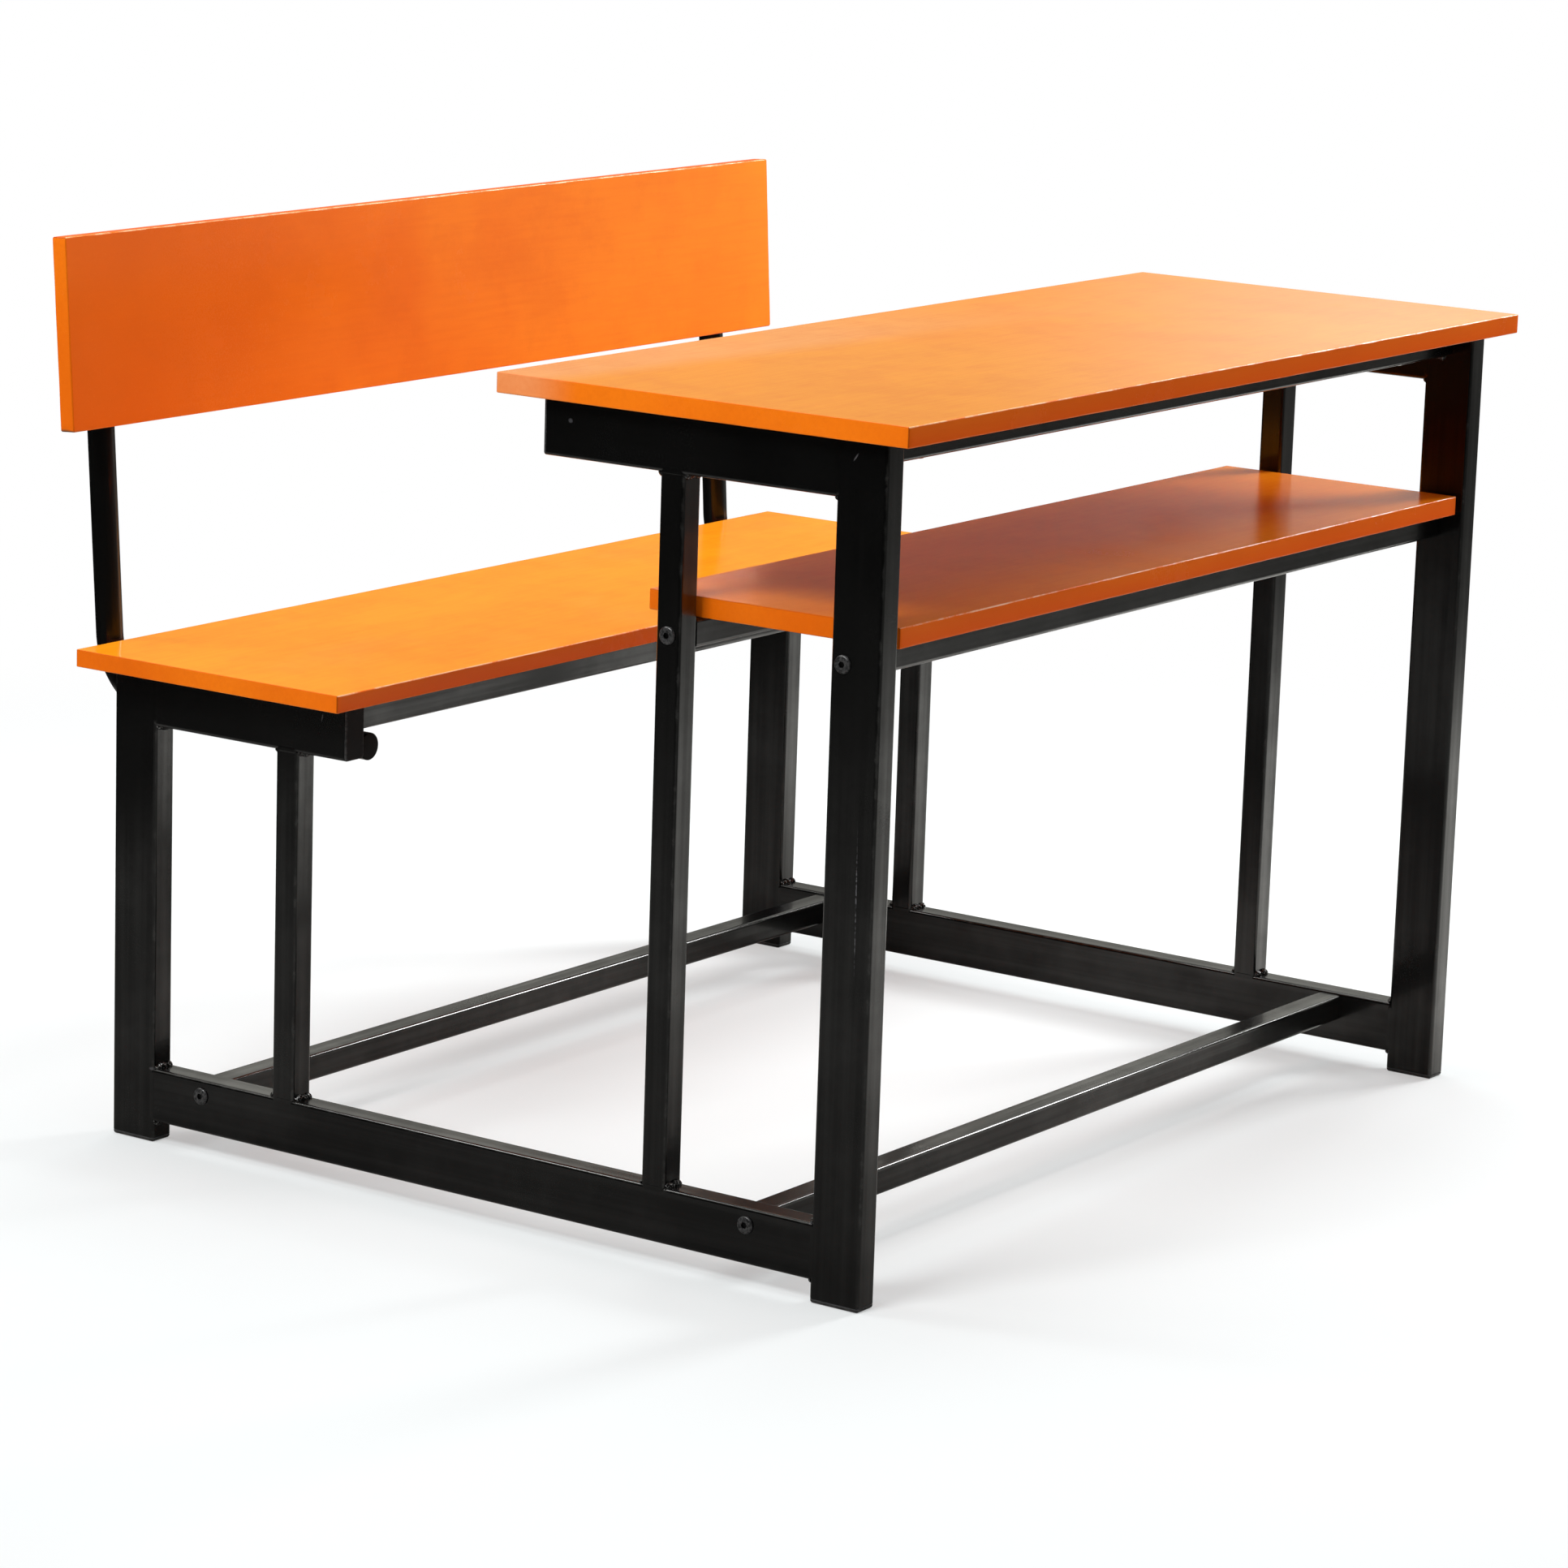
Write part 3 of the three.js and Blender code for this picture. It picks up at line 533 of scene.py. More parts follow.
# Rubbed paler at random and on the worn corners, and on the rims as a painted highlight line
rub_and_highlight = smooth_step(powder, speckle(powder, place, 60.0, 4.0, 0.7) + worn_and_lit * 0.32, 0.74, 0.98)
# Pale flecks on the welds: bare metal, and painted glints where the beads catch the light
flecks_and_glints = (smooth_step(powder, speckle(powder, place, 620.0, 2.0), 0.52, 0.66)
          * mark_of(powder, "joint"))

# The marks seen on the near frame: a long scratch on the front leg, and five small ones
NEAR_FACE = -0.5125
broken = smooth_step(powder, speckle(powder, place, 260.0, 3.0, 0.7), 0.40, 0.60)
scratch = dab(powder, place, (NEAR_FACE, -0.4279, 0.354), (0.003, 0.0009, 0.074), -0.012)
marked = scratch * broken
for back, level, size, tilt, share in (
        (-0.1185, 0.7245, (0.003, 0.0030, 0.0026), 0.0, 0.5),
        (-0.4126, 0.7273, (0.003, 0.0010, 0.0052), 0.6, 0.8),
        (0.1497, 0.4285, (0.003, 0.0009, 0.0050), 0.2, 0.8),
        (0.3470, 0.0700, (0.004, 0.0040, 0.0020), 0.0, 0.6),
        (-0.3928, 0.0700, (0.004, 0.0040, 0.0020), 0.0, 0.6)):
    marked = marked + dab(powder, place, (NEAR_FACE, back, level), size, tilt) * share

coat_colour = blend_colours(powder, smooth_step(powder, clouds, 0.3, 0.7),
                            (0.0010, 0.0010, 0.0010, 1), (0.0021, 0.0021, 0.0020, 1))
coat_colour = overlaid(powder, coat_colour, (
    (streaks * 0.15, 0.018, 0.018, 0.017),
    (rub_and_highlight * 0.40, 0.050, 0.050, 0.047),
    (flecks_and_glints * 0.6, 0.22, 0.22, 0.21),
    (marked * 0.5, 0.17, 0.17, 0.18)))
POWDER_COAT = powder.finish_with("Principled BSDF", {
    "Base Color": coat_colour,
    "Roughness": 0.19 + clouds * 0.08 + grain * 0.05 - worn_and_lit * 0.07 + matt * 0.55,
    "Specular IOR Level": 0.34,
    "Coat Weight": (sheen * 0.34 + handled * 0.42 + worn_and_lit * 0.28) * (1.0 - matt),
    "Coat Roughness": 0.09,
    "Normal": fine_relief(powder, 0.35, 0.00012, peel * 0.7 + grain * 0.3)})


GROOVE = TUBE_CORNER / 2
WELD_RUN = TUBE_SIDE - 0.0012
POST_SEED, POST_FACE_SEED, RAIL_SEED, RAIL_FACE_SEED = 7, 20, 30, 50

for side in ("left", "right"):
    for leg in ("front_leg", "rear_leg"):
        low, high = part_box(f"{leg}_{side}")
        middle = (low + high) / 2
        tube = hollow_tube("z", (TUBE_SIDE, LEG_DEPTH), low.z, high.z)
        tube["grid"] += np.array([middle.x, middle.y, 0.0])
        make_piece(f"{leg}_{side}_coated", [tube], POWDER_COAT, [f"{leg}_{side}"])

    for number, post in enumerate(("desk_post", "seat_post")):
        low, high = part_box(f"{post}_{side}")
        middle = (low + high) / 2
        tube = hollow_tube("z", (TUBE_SIDE, TUBE_SIDE), low.z, high.z)
        tube["grid"] += np.array([middle.x, middle.y, 0.0])
        beads = [weld_bead("x", (middle.x, middle.y + back * TUBE_SIDE / 2, level), WELD_RUN,
                           (0, 0, rise), (0, back, 0), POST_SEED + number * 4 + back + rise)
                 for level, rise in ((low.z, 1), (high.z, -1)) for back in (-1, 1)]
        for level, rise in ((low.z, -1), (high.z, 1)):
            beads += both_faces((middle.x, middle.y, level + rise * GROOVE), "y",
                                TUBE_SIDE - TUBE_CORNER, "z", POST_FACE_SEED + number + rise)
        make_piece(f"{post}_{side}_coated", [tube, *beads], POWDER_COAT,
                   [f"{post}_{side}"])

    for number, (rail, raised, front_weld, rear_weld) in enumerate((
            ("bottom_side_rail", BEAD, True, True),
            ("desk_side_rail", 0.0, True, False),
            ("seat_side_rail", 0.0, False, True))):
        low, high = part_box(f"{rail}_{side}")
        top = high.z - raised
        middle = np.array([(low.x + high.x) / 2, 0.0, top - LEG_DEPTH / 2])
        tube = hollow_tube("y", (LEG_DEPTH, TUBE_SIDE), low.y, high.y)
        tube["grid"] += middle
        beads = []
        for end, inwards, present in ((low.y, 1, front_weld), (high.y, -1, rear_weld)):
            if present:
                beads += both_faces((middle[0], end - inwards * GROOVE, middle[2]), "z",
                                    LEG_DEPTH - TUBE_CORNER, "y",
                                    RAIL_FACE_SEED + number * 3 + inwards)
            for rise in ((-1, 1) if raised else (-1,)):
                if present:
                    beads.append(weld_bead(
                        "x", (middle[0], end, middle[2] + rise * LEG_DEPTH / 2), WELD_RUN,
                        (0, inwards, 0), (0, 0, rise),
                        RAIL_SEED + number * 5 + rise + inwards))
        make_piece(f"{rail}_{side}_coated", [tube, *beads], POWDER_COAT,
                   [f"{rail}_{side}"])


# Cross rails
# Eight square tubes join the side frames. Those under the desk and the seat are welded in,
# and the shelf's and the bottom ones are bolted on through plates in their ends.
CROSS_RAIL_SEED = 60

for place_name in ("desk", "seat", "shelf", "bottom"):
    for end in ("front", "rear"):
        node = f"{place_name}_{end}_rail"
        low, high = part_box(node)
        middle = np.array([0.0, (low.y + high.y) / 2, high.z - TUBE_SIDE / 2])
        tube = hollow_tube("x", (TUBE_SIDE, TUBE_SIDE), low.x, high.x)
        tube["grid"] += middle
        surfaces = [tube]
        if place_name in ("desk", "seat"):
            surfaces += [weld_bead("y", (x, middle[1], high.z - TUBE_SIDE),
                                   TUBE_SIDE - 2 * TUBE_CORNER, (inwards, 0, 0), (0, 0, -1),
                                   CROSS_RAIL_SEED + inwards)
                         for x, inwards in ((low.x, 1), (high.x, -1))]
        make_piece(f"{node}_coated", surfaces, POWDER_COAT, [node])


# Plugs
# Black moulded caps close the open tube ends: four under the legs, which the bench stands
# on, and four in the ends of the desk and seat rails. Each is a flange and a hollow insert.
FOOT_FLANGE = 0.004
FOOT_EDGE = 0.0028
RAIL_FLANGE = 0.0025
RAIL_EDGE = 0.0015
SEAM_EDGE = 0.0009
INSERT_INSET = 0.0019
INSERT_TAPER = 0.001
FACE_LEAD = 0.0006
LEAST_CORNER = 0.0008


def tube_plug(flange, insert, edge):
    """Grid of a plug on its own Z: the rounded outline drawn in by an inset at each height.

    The flange's edge is a quarter circle, inset = e (1 - sin t), height = e (1 - cos t), and
    its seam against the tube a smaller one. Rings 0 to 2 are its face, which is matt, 1 to 6
    the edge and side, scuffed paler and also painted paler as their sheen, 7 to 10 the seam,
    painted pale as a highlight line, and the last three the insert in the tube.
    """
    t = np.linspace(0.0, np.pi / 2, 5)
    insets = np.concatenate([[edge + FACE_LEAD], edge * (1 - np.sin(t)), SEAM_EDGE * np.sin(t),
                             [INSERT_INSET, INSERT_INSET, INSERT_INSET + INSERT_TAPER]])
    heights = np.concatenate([[0.0], edge * (1 - np.cos(t)), flange - SEAM_EDGE * np.cos(t),
                              [flange, flange + insert - INSERT_TAPER, flange + insert]])
    rings = [rounded_outline(TUBE_SIDE - 2 * inset, LEG_DEPTH - 2 * inset,
                             max(TUBE_CORNER - inset, LEAST_CORNER)) for inset in insets]
    grid = np.stack([along_axis("z", ring, [h])[0] for (ring, _), h in zip(rings, heights)])
    wear = np.stack([nearness for _, nearness in rings])
    face, seam = np.zeros_like(wear), np.zeros_like(wear)
    face[:3] = 1.0
    wear[1:7] = 1.0
    seam[7:11] = 1.0
    return {"grid": grid, "wear": wear, "ring": False, "matt_and_painted_light": face, "joint": seam}


moulded = Finish(bpy.data.materials.new("black_moulded_plastic"))
place = moulded.node("ShaderNodeTexCoord", {}, {}, "Object")
worn_and_lit = mark_of(moulded, "wear")
matt = mark_of(moulded, "matt_and_painted_light")
grain = speckle(moulded, place, 1400.0, 2.0)
scuff_and_sheen = smooth_step(moulded, speckle(moulded, place, 240.0, 4.0, 0.7) + worn_and_lit * 0.20, 0.62, 0.80)
MOULDED_PLASTIC = moulded.finish_with("Principled BSDF", {
    "Base Color": overlaid(moulded, (0.006, 0.006, 0.006, 1), (
        # scuffed and worn paler, the flange's edge and side also painted paler as their sheen,
        # and the seam painted pale as a highlight line
        (scuff_and_sheen * 0.5 + worn_and_lit * 0.45 - matt * 0.45, 0.055, 0.054, 0.052),
        (mark_of(moulded, "joint") * 0.7, 0.16, 0.16, 0.165))),
    "Roughness": 0.17 + grain * 0.12 + matt * 0.60,
    "Specular IOR Level": 0.38,
    "Normal": fine_relief(moulded, 0.4, 0.00008, grain)})

for side in ("left", "right"):
    for node, turn in (("front_foot_plug", "z"), ("rear_foot_plug", "z"),
                       ("desk_rail_plug", "rear"), ("seat_rail_plug", "front")):
        low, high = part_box(f"{node}_{side}")
        if turn == "z":
            plug = tube_plug(FOOT_FLANGE, high.z - low.z - FOOT_FLANGE, FOOT_EDGE)
            plug["grid"] += np.array([(low.x + high.x) / 2, (low.y + high.y) / 2, low.z])
        else:
            plug = tube_plug(RAIL_FLANGE, high.y - low.y - RAIL_FLANGE, RAIL_EDGE)
            x, y, z = np.moveaxis(plug["grid"], 2, 0)
            upright = np.stack([x, z, -y], axis=2) if turn == "front" else np.stack(
                [x, -z, y], axis=2)
            anchor = low.y if turn == "front" else high.y
            plug["grid"] = upright + np.array(
                [(low.x + high.x) / 2, anchor, (low.z + high.z) / 2])
        make_piece(f"{node}_{side}_moulded", [plug], MOULDED_PLASTIC, [f"{node}_{side}"])


# Frame bolts
# Blackened steel bolts with low round heads and hexagon sockets hold the shelf's and the
# bottom cross rails to the side frames, four on each side.
BOLT_RADIUS = 0.008
BOLT_LENGTH = 0.0375
HEAD_HEIGHT = 0.0024
DOME_HEIGHT = 0.0016
SOCKET_FLATS = 0.005
SOCKET_DEPTH = 0.0016
FLAT_RADIUS = 0.0045
SHANK_RADIUS = 0.0040
TIP_TAPER = 0.0008


def frame_bolt(direction):
    """Grid of a bolt turned about X: rings of radius r at depth d from the head's face.

    The socket's rings are hexagons, r(a) = half / cos(a mod 60 deg - 30 deg), and are marked
    as a joint, which paints them near black as the shade in the socket. The dome is an
    ellipse, r = R - H (1 - sin t), d = D (1 - cos t). The head's face and dome are painted
    paler, partly as scuffs and partly as a highlight.
    """
    around = np.linspace(0.0, 2 * np.pi, 48, endpoint=False)
    hexagon = SOCKET_FLATS / 2 / np.cos(np.mod(around, np.pi / 3) - np.pi / 6)
    circle = np.ones_like(around)
    rings = [(hexagon * 0.3, SOCKET_DEPTH + 0.0001), (hexagon, SOCKET_DEPTH),
             (hexagon, 0.00025), (hexagon * 1.07, 0.0), (circle * FLAT_RADIUS, 0.0)]
    rings += [(circle * (BOLT_RADIUS - HEAD_HEIGHT * (1 - np.sin(t))),
               DOME_HEIGHT * (1 - np.cos(t))) for t in np.linspace(0.0, np.pi / 2, 6)]
    rings += [(circle * BOLT_RADIUS, HEAD_HEIGHT - 0.0001),
              (circle * (BOLT_RADIUS - 0.0002), HEAD_HEIGHT),
              (circle * SHANK_RADIUS, HEAD_HEIGHT), (circle * SHANK_RADIUS, BOLT_LENGTH),
              (circle * (SHANK_RADIUS - TIP_TAPER), BOLT_LENGTH + TIP_TAPER)]
    radius = np.stack([r for r, _ in rings])
    depth = np.array([d for _, d in rings])[:, None] * np.ones_like(around)
    grid = np.stack([depth * direction, radius * np.cos(around) * direction,
                     radius * np.sin(around)], axis=2)
    socket = (np.arange(len(rings)) < 3)[:, None] * np.ones_like(around)
    return {"grid": grid, "wear": np.where(depth < 0.0017, 1.0, 0.4) * (1 - socket),
            "ring": False, "joint": socket}


blackened = Finish(bpy.data.materials.new("blackened_steel"))
place = blackened.node("ShaderNodeTexCoord", {}, {}, "Object")
grain = speckle(blackened, place, 1100.0, 3.0)
scratches_and_highlight = speckle(blackened, place, 500.0, 3.0, 0.7) + mark_of(blackened, "wear") * 0.3
# Chafed paler at random, and over the head's face and dome as a painted highlight
chafe_and_highlight = smooth_step(blackened, scratches_and_highlight, 0.66, 0.90)
BLACKENED_STEEL = blackened.finish_with("Principled BSDF", {
    "Base Color": overlaid(blackened, (0.020, 0.020, 0.021, 1), (
        (chafe_and_highlight * 0.6, 0.16, 0.16, 0.16),
        # the socket painted near black as its shade
        (mark_of(blackened, "joint"), 0.0015, 0.0015, 0.0015))),
    "Metallic": 0.6,
    "Roughness": 0.26 + grain * 0.14,
    "Normal": fine_relief(blackened, 0.3, 0.00005, grain)})

for side, outward in (("left", -1), ("right", 1)):
    for spot in ("shelf_front", "shelf_rear", "bottom_front", "bottom_rear"):
        node = f"{spot}_bolt_{side}"
        low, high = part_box(node)
        bolt = frame_bolt(-outward)
        face = high.x if outward > 0 else low.x
        bolt["grid"] += np.array([face, (low.y + high.y) / 2, (low.z + high.z) / 2])
        make_piece(f"{node}_head", [bolt], BLACKENED_STEEL, [node])


# Boards
# Desk top, shelf and seat are flat boards under an orange lacquer, with their edges eased
# by hand, so that the light catches them in a line that wavers a little. The colour is
# painted paler along each board and on its top, for the light that falls there, and the
# desk's top is rubbed to a shine.
BOARD_EDGE = 0.0011
BOARD_CORNER = 0.0020
EDGE_SPACING = 0.006
EDGE_WAVER = 0.09
FACE_START = 1.25
SIDE_START = 1.35
FIRST_EDGE, LAST_EDGE = -1.0, 1.0


def board_slab(length, depth, thickness, seed, painted_light_shares, polish, glint_edge=FIRST_EDGE):
    """Grid of a board lying from zero along Y and Z: its outline, drawn in at each height.

    The outline's sides are straight and its corners quarter circles. The edges are eased
    by a quarter circle of radius e, which wavers along the outline as a sum of four sines.
    One ring lies 1.25 e in on each face and one 1.35 e down each side, to keep them flat.

    The upper face is marked with its share of painted light, from the first share on the
    left to the second on the right, and with its share of polish. Its first or its last edge
    along Y is marked as the one that glints with a painted highlight, the long sides are
    marked for painted shade, darker on their lower half, and corners have a dark line.
    """
    rng = np.random.default_rng(seed)
    half = np.array([length, depth]) / 2 - BOARD_CORNER
    t = np.linspace(0.0, np.pi / 2, 6)
    sides = []
    for number, (run, turn) in enumerate(((2 * half[1], 0.0), (2 * half[0], np.pi / 2),
                                          (2 * half[1], np.pi), (2 * half[0], 1.5 * np.pi))):
        count = max(int(run / EDGE_SPACING), 4)
        s = np.linspace(-run / 2, run / 2, count + 1)
        reach = half[number % 2] + BOARD_CORNER
        straight = np.stack([np.full_like(s, reach), s], axis=1)
        arc = np.stack([reach - BOARD_CORNER + BOARD_CORNER * np.cos(t[1:-1]),
                        run / 2 + BOARD_CORNER * np.sin(t[1:-1])], axis=1)
        points = np.concatenate([straight, arc])
        normals = np.concatenate([np.tile([1.0, 0.0], (len(s), 1)),
                                  np.stack([np.cos(t[1:-1]), np.sin(t[1:-1])], axis=1)])
        joint = np.concatenate([np.zeros(len(s)), (np.sin(2 * t[1:-1]) > 0.94) * 1.0])
        spin = np.array([[np.cos(turn), -np.sin(turn)], [np.sin(turn), np.cos(turn)]])
        sides.append((points @ spin.T, normals @ spin.T, joint))
    outline = np.concatenate([p for p, _, _ in sides])
    normal = np.concatenate([n for _, n, _ in sides])
    joint = np.concatenate([j for _, _, j in sides])
    steps = np.linalg.norm(np.diff(outline, axis=0, append=outline[:1]), axis=1)
    distance = np.cumsum(steps) - steps[0]
    waver = sum(np.sin(distance * k + rng.random() * 6.3) for k in (11.0, 29.0, 67.0, 140.0))
    edge = BOARD_EDGE * (1 + EDGE_WAVER * waver)
    drawn_in = np.concatenate([[FACE_START], 1 - np.sin(t), [0.0, 0.0],
                               1 - np.sin(t[::-1]), [FACE_START]])
    lift = np.concatenate([[0.0], 1 - np.cos(t), [SIDE_START, SIDE_START],
                           1 - np.cos(t[::-1]), [0.0]])
    upper = np.arange(len(lift)) >= len(lift) // 2
    inset = drawn_in[:, None] * edge
    height = np.where(upper[:, None], thickness - lift[:, None] * edge, lift[:, None] * edge)
    flat = outline[None] - normal[None] * inset[:, :, None]
    grid = np.concatenate([flat + np.array([0.0, depth / 2]), height[:, :, None]], axis=2)
    eased = ((drawn_in > 0.01) & (drawn_in < 0.99))[:, None] * np.ones(len(outline))
    side = drawn_in < 0.3
    long_side, end_side = np.abs(normal[:, 1]) > 0.7, np.abs(normal[:, 0]) > 0.7
    end_edge = eased * upper[:, None] * end_side
    face = (upper & (drawn_in > 0.99))[:, None]
    # Each top's share of painted light, from its left end to its right
    matt_and_painted_light = painted_light_shares[0] + (painted_light_shares[1] - painted_light_shares[0]) * (outline[:, 0] / length + 0.5)
    return {"grid": grid, "ring": False, "wear": eased - end_edge,
            # The long sides painted in shade, darker on their lower half
            "painted_side_shade": (side * np.where(upper, 0.45, 1.0))[:, None] * long_side,
            "joint": side[:, None] * joint + end_edge * 0.4,
            "polish": face * np.full(len(outline), polish),
            "matt_and_painted_light": face * matt_and_painted_light,
            "glint": eased * upper[:, None] * (normal[:, 1] * glint_edge > 0.7)}


lacquer = Finish(bpy.data.materials.new("orange_lacquer"))
place = lacquer.node("ShaderNodeTexCoord", {}, {}, "Object")
eased_edge, side_shade, joint, matt_and_painted_light, glint, polish = (
    mark_of(lacquer, mark) for mark in ("wear", "painted_side_shade", "joint", "matt_and_painted_light", "glint", "polish"))

# Clouds, a faint grain along the board, dust under the lacquer, its peel, and smears
clouds = speckle(lacquer, place, 3.2, 3.0)
grain = speckle(lacquer, stretched(lacquer, place, (1.0, 14.0, 14.0)), 16.0, 5.0, 0.6)
dust = speckle(lacquer, place, 760.0, 2.0)
peel = speckle(lacquer, place, 210.0, 2.0)
smears = smooth_step(lacquer, speckle(lacquer, place, 7.0, 5.0, 0.65), 0.52, 0.72)
mottle = smooth_step(lacquer, speckle(lacquer, place, 12.0, 5.0, 0.7), 0.44, 0.64)

# The eased edges are painted paler here and there, partly wear and partly highlight, and
# a broken painted highlight runs along them where they face the light
catch = smooth_step(lacquer, speckle(lacquer, place, 26.0, 4.0, 0.7), 0.35, 0.62)
glint_breaks = smooth_step(lacquer, speckle(lacquer, place, 30.0, 5.0, 0.75), 0.40, 0.60)

# A paler peach strip along the rear of the desk's top, which thins out to the right
sideways = towards(lacquer, place, (1.0, 0.0, 0.0))
backwards = towards(lacquer, place, (0.10, 1.0, 0.0))
upwards = towards(lacquer, place, (0.0, 0.0, 1.0))
rear_strip = (smooth_step(lacquer, upwards, 0.70, 0.75)
              * (smooth_step(lacquer, backwards, -0.19, -0.13)
                 - smooth_step(lacquer, backwards, 0.0, 0.1))
              * (1.0 - smooth_step(lacquer, sideways, -0.35, 0.30)))

# The chip at the backrest's lower near corner
chipped = dab(lacquer, place, (-0.5425, 0.428, 0.6548), (0.030, 0.018, 0.0042))

# Painted light: deep red orange where less light falls, yellow orange on the tops that get
# the most, varied by the clouds
painted_light_and_clouds = matt_and_painted_light + (clouds - 0.5) * 0.7
board_colour = blend_colours(lacquer, smooth_step(lacquer, clouds, 0.28, 0.72),
                             (0.82, 0.146, 0.0030, 1), (0.92, 0.186, 0.0050, 1))
board_colour = blend_colours(lacquer, smooth_step(lacquer, painted_light_and_clouds, -0.45, 0.15),
                             (0.73, 0.110, 0.0016, 1), board_colour)
board_colour = overlaid(lacquer, board_colour, (
    (painted_light_and_clouds, 0.89, 0.305, 0.0085),
    (rear_strip * (0.15 + clouds * 0.65), 0.88, 0.42, 0.19),
    (mottle * 0.14, 0.62, 0.105, 0.003),
    (smooth_step(lacquer, grain, 0.35, 0.75) * 0.16, 0.70, 0.105, 0.003),
    (smooth_step(lacquer, dust, 0.55, 0.80) * 0.10, 0.95, 0.32, 0.045),
    # painted shade on the long sides of the boards
    (side_shade * 0.8, 0.85, 0.098, 0.0020),
    (joint * 0.7, 0.22, 0.030, 0.001),
    (chipped * 0.9, 0.16, 0.075, 0.030),
    # paler eased edges, partly wear and partly painted highlight, then the painted glint
    (eased_edge * catch * 0.22, 0.95, 0.46, 0.14),
    (glint * glint_breaks * 0.65, 0.95, 0.66, 0.38)))
ORANGE_LACQUER = lacquer.finish_with("Principled BSDF", {
    "Base Color": board_colour,
    "Specular IOR Level": 0.08,
    "Coat Weight": polish * 0.45 + glint * glint_breaks * 0.3,
    "Coat Roughness": 0.17,
    "Roughness": 0.24 - matt_and_painted_light * 0.08 + smears * 0.05 + dust * 0.04,
    "Normal": fine_relief(lacquer, 0.25, 0.00010, peel * 0.6 + dust * 0.2 + grain * 0.2)})

# Each board with its shares of painted light at the left and the right, and its polish
for seed, (node, painted_light_shares, polished) in enumerate((
        ("desk_top", (1.25, 0.60), 1.0),
        ("shelf", (0.45, 0.55), 0.1),
        ("seat", (1.2, 1.15), 0.1))):
    low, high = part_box(node)
    slab = board_slab(high.x - low.x, high.y - low.y, high.z - low.z, seed, painted_light_shares, polished)
    slab["grid"] += np.array([0.0, low.y, low.z])
    make_piece(f"{node}_lacquered", [slab], ORANGE_LACQUER, [node])


# Backrest
# A narrower board under the same lacquer, leaned back by the rake of the two tubes that
# carry it. Its front is its upper face, painted redder on the left and paler on the right
# for the light that falls more from the right.
RAKE = math.radians(3.7)
BACKREST_SIZE = (1.085, 0.1759, 0.016)
BACKREST_SEED = 5

# Painted light: redder on the left where less light falls, paler on the right
slab = board_slab(*BACKREST_SIZE, BACKREST_SEED, (-0.35, 0.6), 0.8, LAST_EDGE)
x, y, z = np.moveaxis(slab["grid"], 2, 0)
lean = np.stack([x, y * math.sin(RAKE) - z * math.cos(RAKE),
                 y * math.cos(RAKE) + z * math.sin(RAKE)], axis=2)
low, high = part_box("backrest")
middle = (np.array(low) + np.array(high)) / 2
slab["grid"] = lean + middle - (lean.min(axis=(0, 1)) + lean.max(axis=(0, 1))) / 2
make_piece("backrest_lacquered", [slab], ORANGE_LACQUER, ["backrest"])


# Backrest tubes
# Two round steel tubes lie along the seat rails, bend up behind the seat in one bend each
# and carry the backrest. They are welded to the rails and coated with the frame.
ROUND_RADIUS = 0.0125
BEND_RADIUS = 0.066
RAIL_GAP = 0.0003
END_EDGE = 0.001
END_LEAD = 0.0016
GROOVE_WELD = 0.048
GROOVE_WELD_MIDDLES = (0.20276, 0.30276)
GROOVE_WELD_SINK = 0.0012
GROOVE_WELD_RISE = 0.0052
GROOVE_WELD_SEED = 96

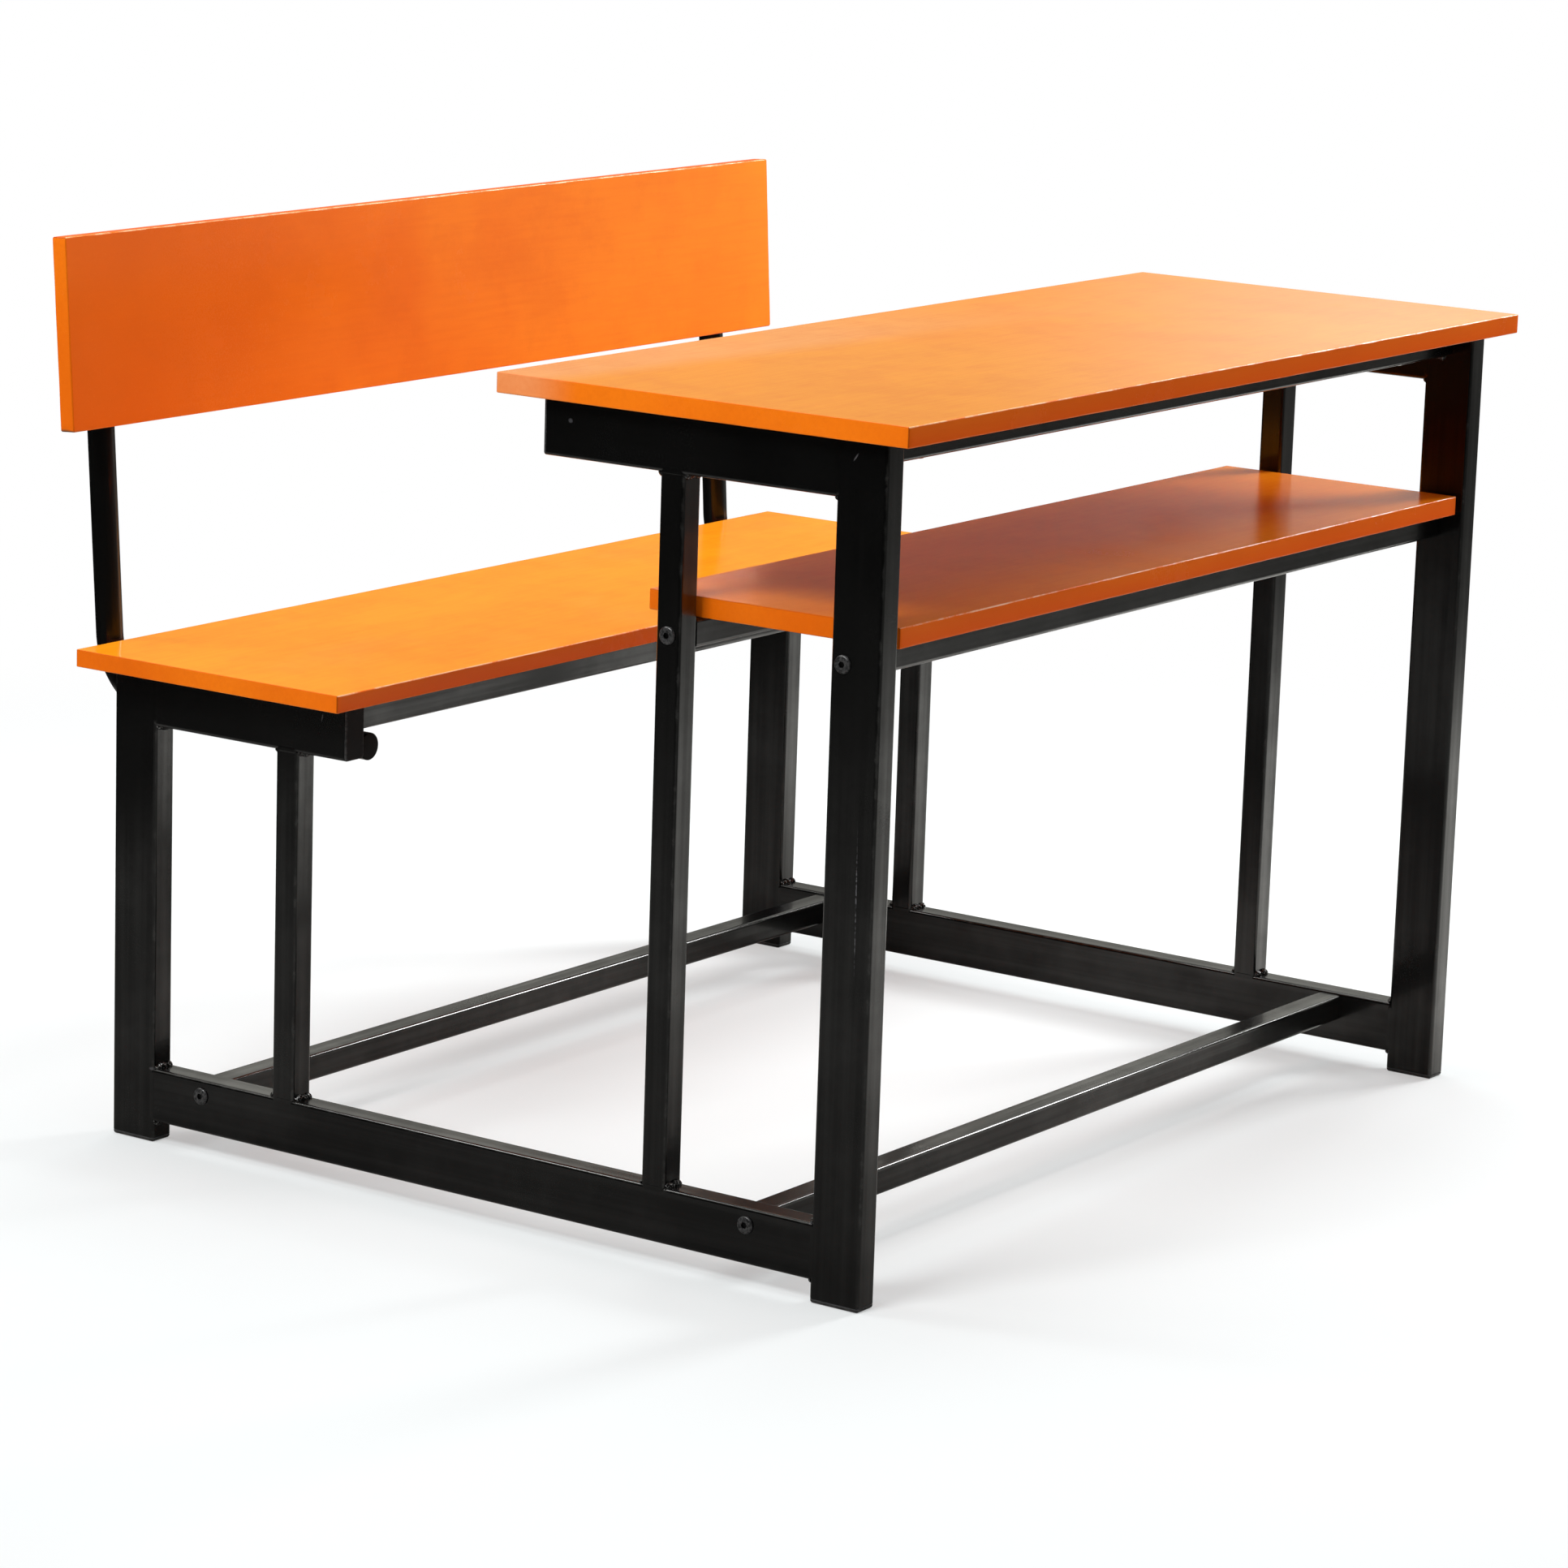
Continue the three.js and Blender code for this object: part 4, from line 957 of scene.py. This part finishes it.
for side, outward in (("left", -1), ("right", 1)):
    node = f"backrest_tube_{side}"
    low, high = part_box(node)
    inner_face = low.x if outward < 0 else high.x
    centre_x = inner_face - outward * (ROUND_RADIUS + RAIL_GAP)
    level = low.z + ROUND_RADIUS
    bend_angle = np.pi / 2 - RAKE
    bend_z = level + BEND_RADIUS
    # The tube's highest rear point fixes how far the upright runs and where the bend lies
    top_z = high.z - ROUND_RADIUS * math.sin(RAKE)
    upright = (top_z - bend_z + BEND_RADIUS * math.cos(bend_angle)) / math.cos(RAKE)
    bend_y = (high.y - ROUND_RADIUS * math.cos(RAKE) - upright * math.sin(RAKE)
              - BEND_RADIUS * math.sin(bend_angle))
    t = np.linspace(0.0, bend_angle, 25)
    bend_line = np.stack([bend_y + BEND_RADIUS * np.sin(t),
                          bend_z - BEND_RADIUS * np.cos(t)], axis=1)
    foot = np.array([low.y, level])
    head = bend_line[-1] + upright * np.array([math.sin(RAKE), math.cos(RAKE)])
    lean_way = (head - bend_line[-1]) / upright
    run_way = np.array([1.0, 0.0])
    ease = np.linspace(0.0, np.pi / 2, 5)
    ends = END_EDGE * (1 - np.cos(ease))
    line = np.concatenate([foot + ends[:, None] * run_way, [foot + END_LEAD * run_way],
                           bend_line, [head - END_LEAD * lean_way],
                           (head - ends[:, None] * lean_way)[::-1]])
    heading = np.concatenate([np.zeros(len(ends) + 1), t, np.full(len(ends) + 1, bend_angle)])
    eased = ROUND_RADIUS - END_EDGE * (1 - np.sin(ease))
    radius = np.concatenate([eased, np.full(len(t) + 2, ROUND_RADIUS), eased[::-1]])
    around = np.linspace(0.0, 2 * np.pi, 48, endpoint=False)
    across = radius[:, None] * np.cos(around)
    sideways = radius[:, None] * np.sin(around)
    grid = np.stack([centre_x + sideways,
                     line[:, :1] - across * np.sin(heading)[:, None],
                     line[:, 1:] + across * np.cos(heading)[:, None]], axis=2)
    matt_end = np.zeros(grid.shape[:2])
    matt_end[:3] = 1.0
    tube = {"grid": grid, "wear": np.full(grid.shape[:2], 0.15), "ring": False,
            "matt_and_painted_light": matt_end}
    weld_x = inner_face - outward * GROOVE_WELD_SINK
    beads = [weld_bead("y", (weld_x, along, level + rise * GROOVE_WELD_RISE),
                       GROOVE_WELD, (0, 0, rise), (-outward, 0, 0),
                       GROOVE_WELD_SEED + number + rise)
             for number, along in enumerate(GROOVE_WELD_MIDDLES) for rise in (-1, 1)]
    make_piece(f"{node}_coated", [tube, *beads], POWDER_COAT, [node])


# Board screws
# Zinc-plated pan-head screws hold the boards: from below through the cross rails, and
# from behind through the backrest tubes. Their heads have cross recesses.
SCREW_HEAD = 0.0042
SCREW_SHANK = 0.0021
SCREW_TAPER = 0.0042
BACKREST_SCREW = 0.0387


def board_screw(length):
    """Grid of a screw on its own Z, head down: rings of radius r at height h.

    The recess is pushed in by depth . max(cross, whole), where the cross's four arms are
    max(0, cos 4a) ** 3 and whole fills its middle.
    """
    around = np.linspace(0.0, 2 * np.pi, 40, endpoint=False)
    cross = np.clip(np.cos(4 * around), 0, 1) ** 3
    radii = np.array([0.0006, 0.0012, 0.0018, 0.0023, 0.0029, 0.0035, 0.0040, SCREW_HEAD,
                      SCREW_HEAD, 0.0041, SCREW_SHANK, SCREW_SHANK, 0.0003])
    heights = np.array([0.0, 0.0, 0.0, 0.00002, 0.0002, 0.0006, 0.0012, 0.0018, 0.0024,
                        0.0026, 0.0026, length - SCREW_TAPER, length])
    depth = np.array([0.0014, 0.0013, 0.0011, 0.0006, 0, 0, 0, 0, 0, 0, 0, 0, 0])
    whole = np.array([1.0, 0.55, 0.0, 0, 0, 0, 0, 0, 0, 0, 0, 0, 0])
    recess = depth[:, None] * np.maximum(cross[None, :], whole[:, None])
    grid = np.stack([radii[:, None] * np.cos(around), radii[:, None] * np.sin(around),
                     heights[:, None] + recess], axis=2)
    return {"grid": grid, "ring": False}


zinc = Finish(bpy.data.materials.new("zinc_plate"))
place = zinc.node("ShaderNodeTexCoord", {}, {}, "Object")
grain = speckle(zinc, place, 1600.0, 3.0)
tarnish = smooth_step(zinc, speckle(zinc, place, 420.0, 4.0, 0.7), 0.45, 0.75)
ZINC_PLATE = zinc.finish_with("Principled BSDF", {
    "Base Color": overlaid(zinc, (0.55, 0.55, 0.56, 1), (
        (tarnish * 0.5, 0.36, 0.34, 0.30),)),
    "Metallic": 0.95,
    "Roughness": 0.28 + grain * 0.18,
    "Normal": fine_relief(zinc, 0.25, 0.00004, grain)})

for board in ("desk_top", "shelf", "seat"):
    for number in (1, 2, 3, 4):
        node = f"{board}_screw_{number}"
        low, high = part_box(node)
        screw = board_screw(high.z - low.z)
        screw["grid"] += np.array([(low.x + high.x) / 2, (low.y + high.y) / 2, low.z])
        make_piece(f"{node}_plated", [screw], ZINC_PLATE, [node])

for number in (1, 2, 3, 4):
    node = f"backrest_screw_{number}"
    low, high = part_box(node)
    screw = board_screw(BACKREST_SCREW)
    x, y, z = np.moveaxis(screw["grid"], 2, 0)
    turned = np.stack([-x, -y * math.sin(RAKE) - z * math.cos(RAKE),
                       -y * math.cos(RAKE) + z * math.sin(RAKE)], axis=2)
    rear = np.array([(low.x + high.x) / 2, high.y - SCREW_HEAD * math.sin(RAKE),
                     low.z + SCREW_HEAD * math.cos(RAKE)])
    screw["grid"] = turned + rear
    make_piece(f"{node}_plated", [screw], ZINC_PLATE, [node])
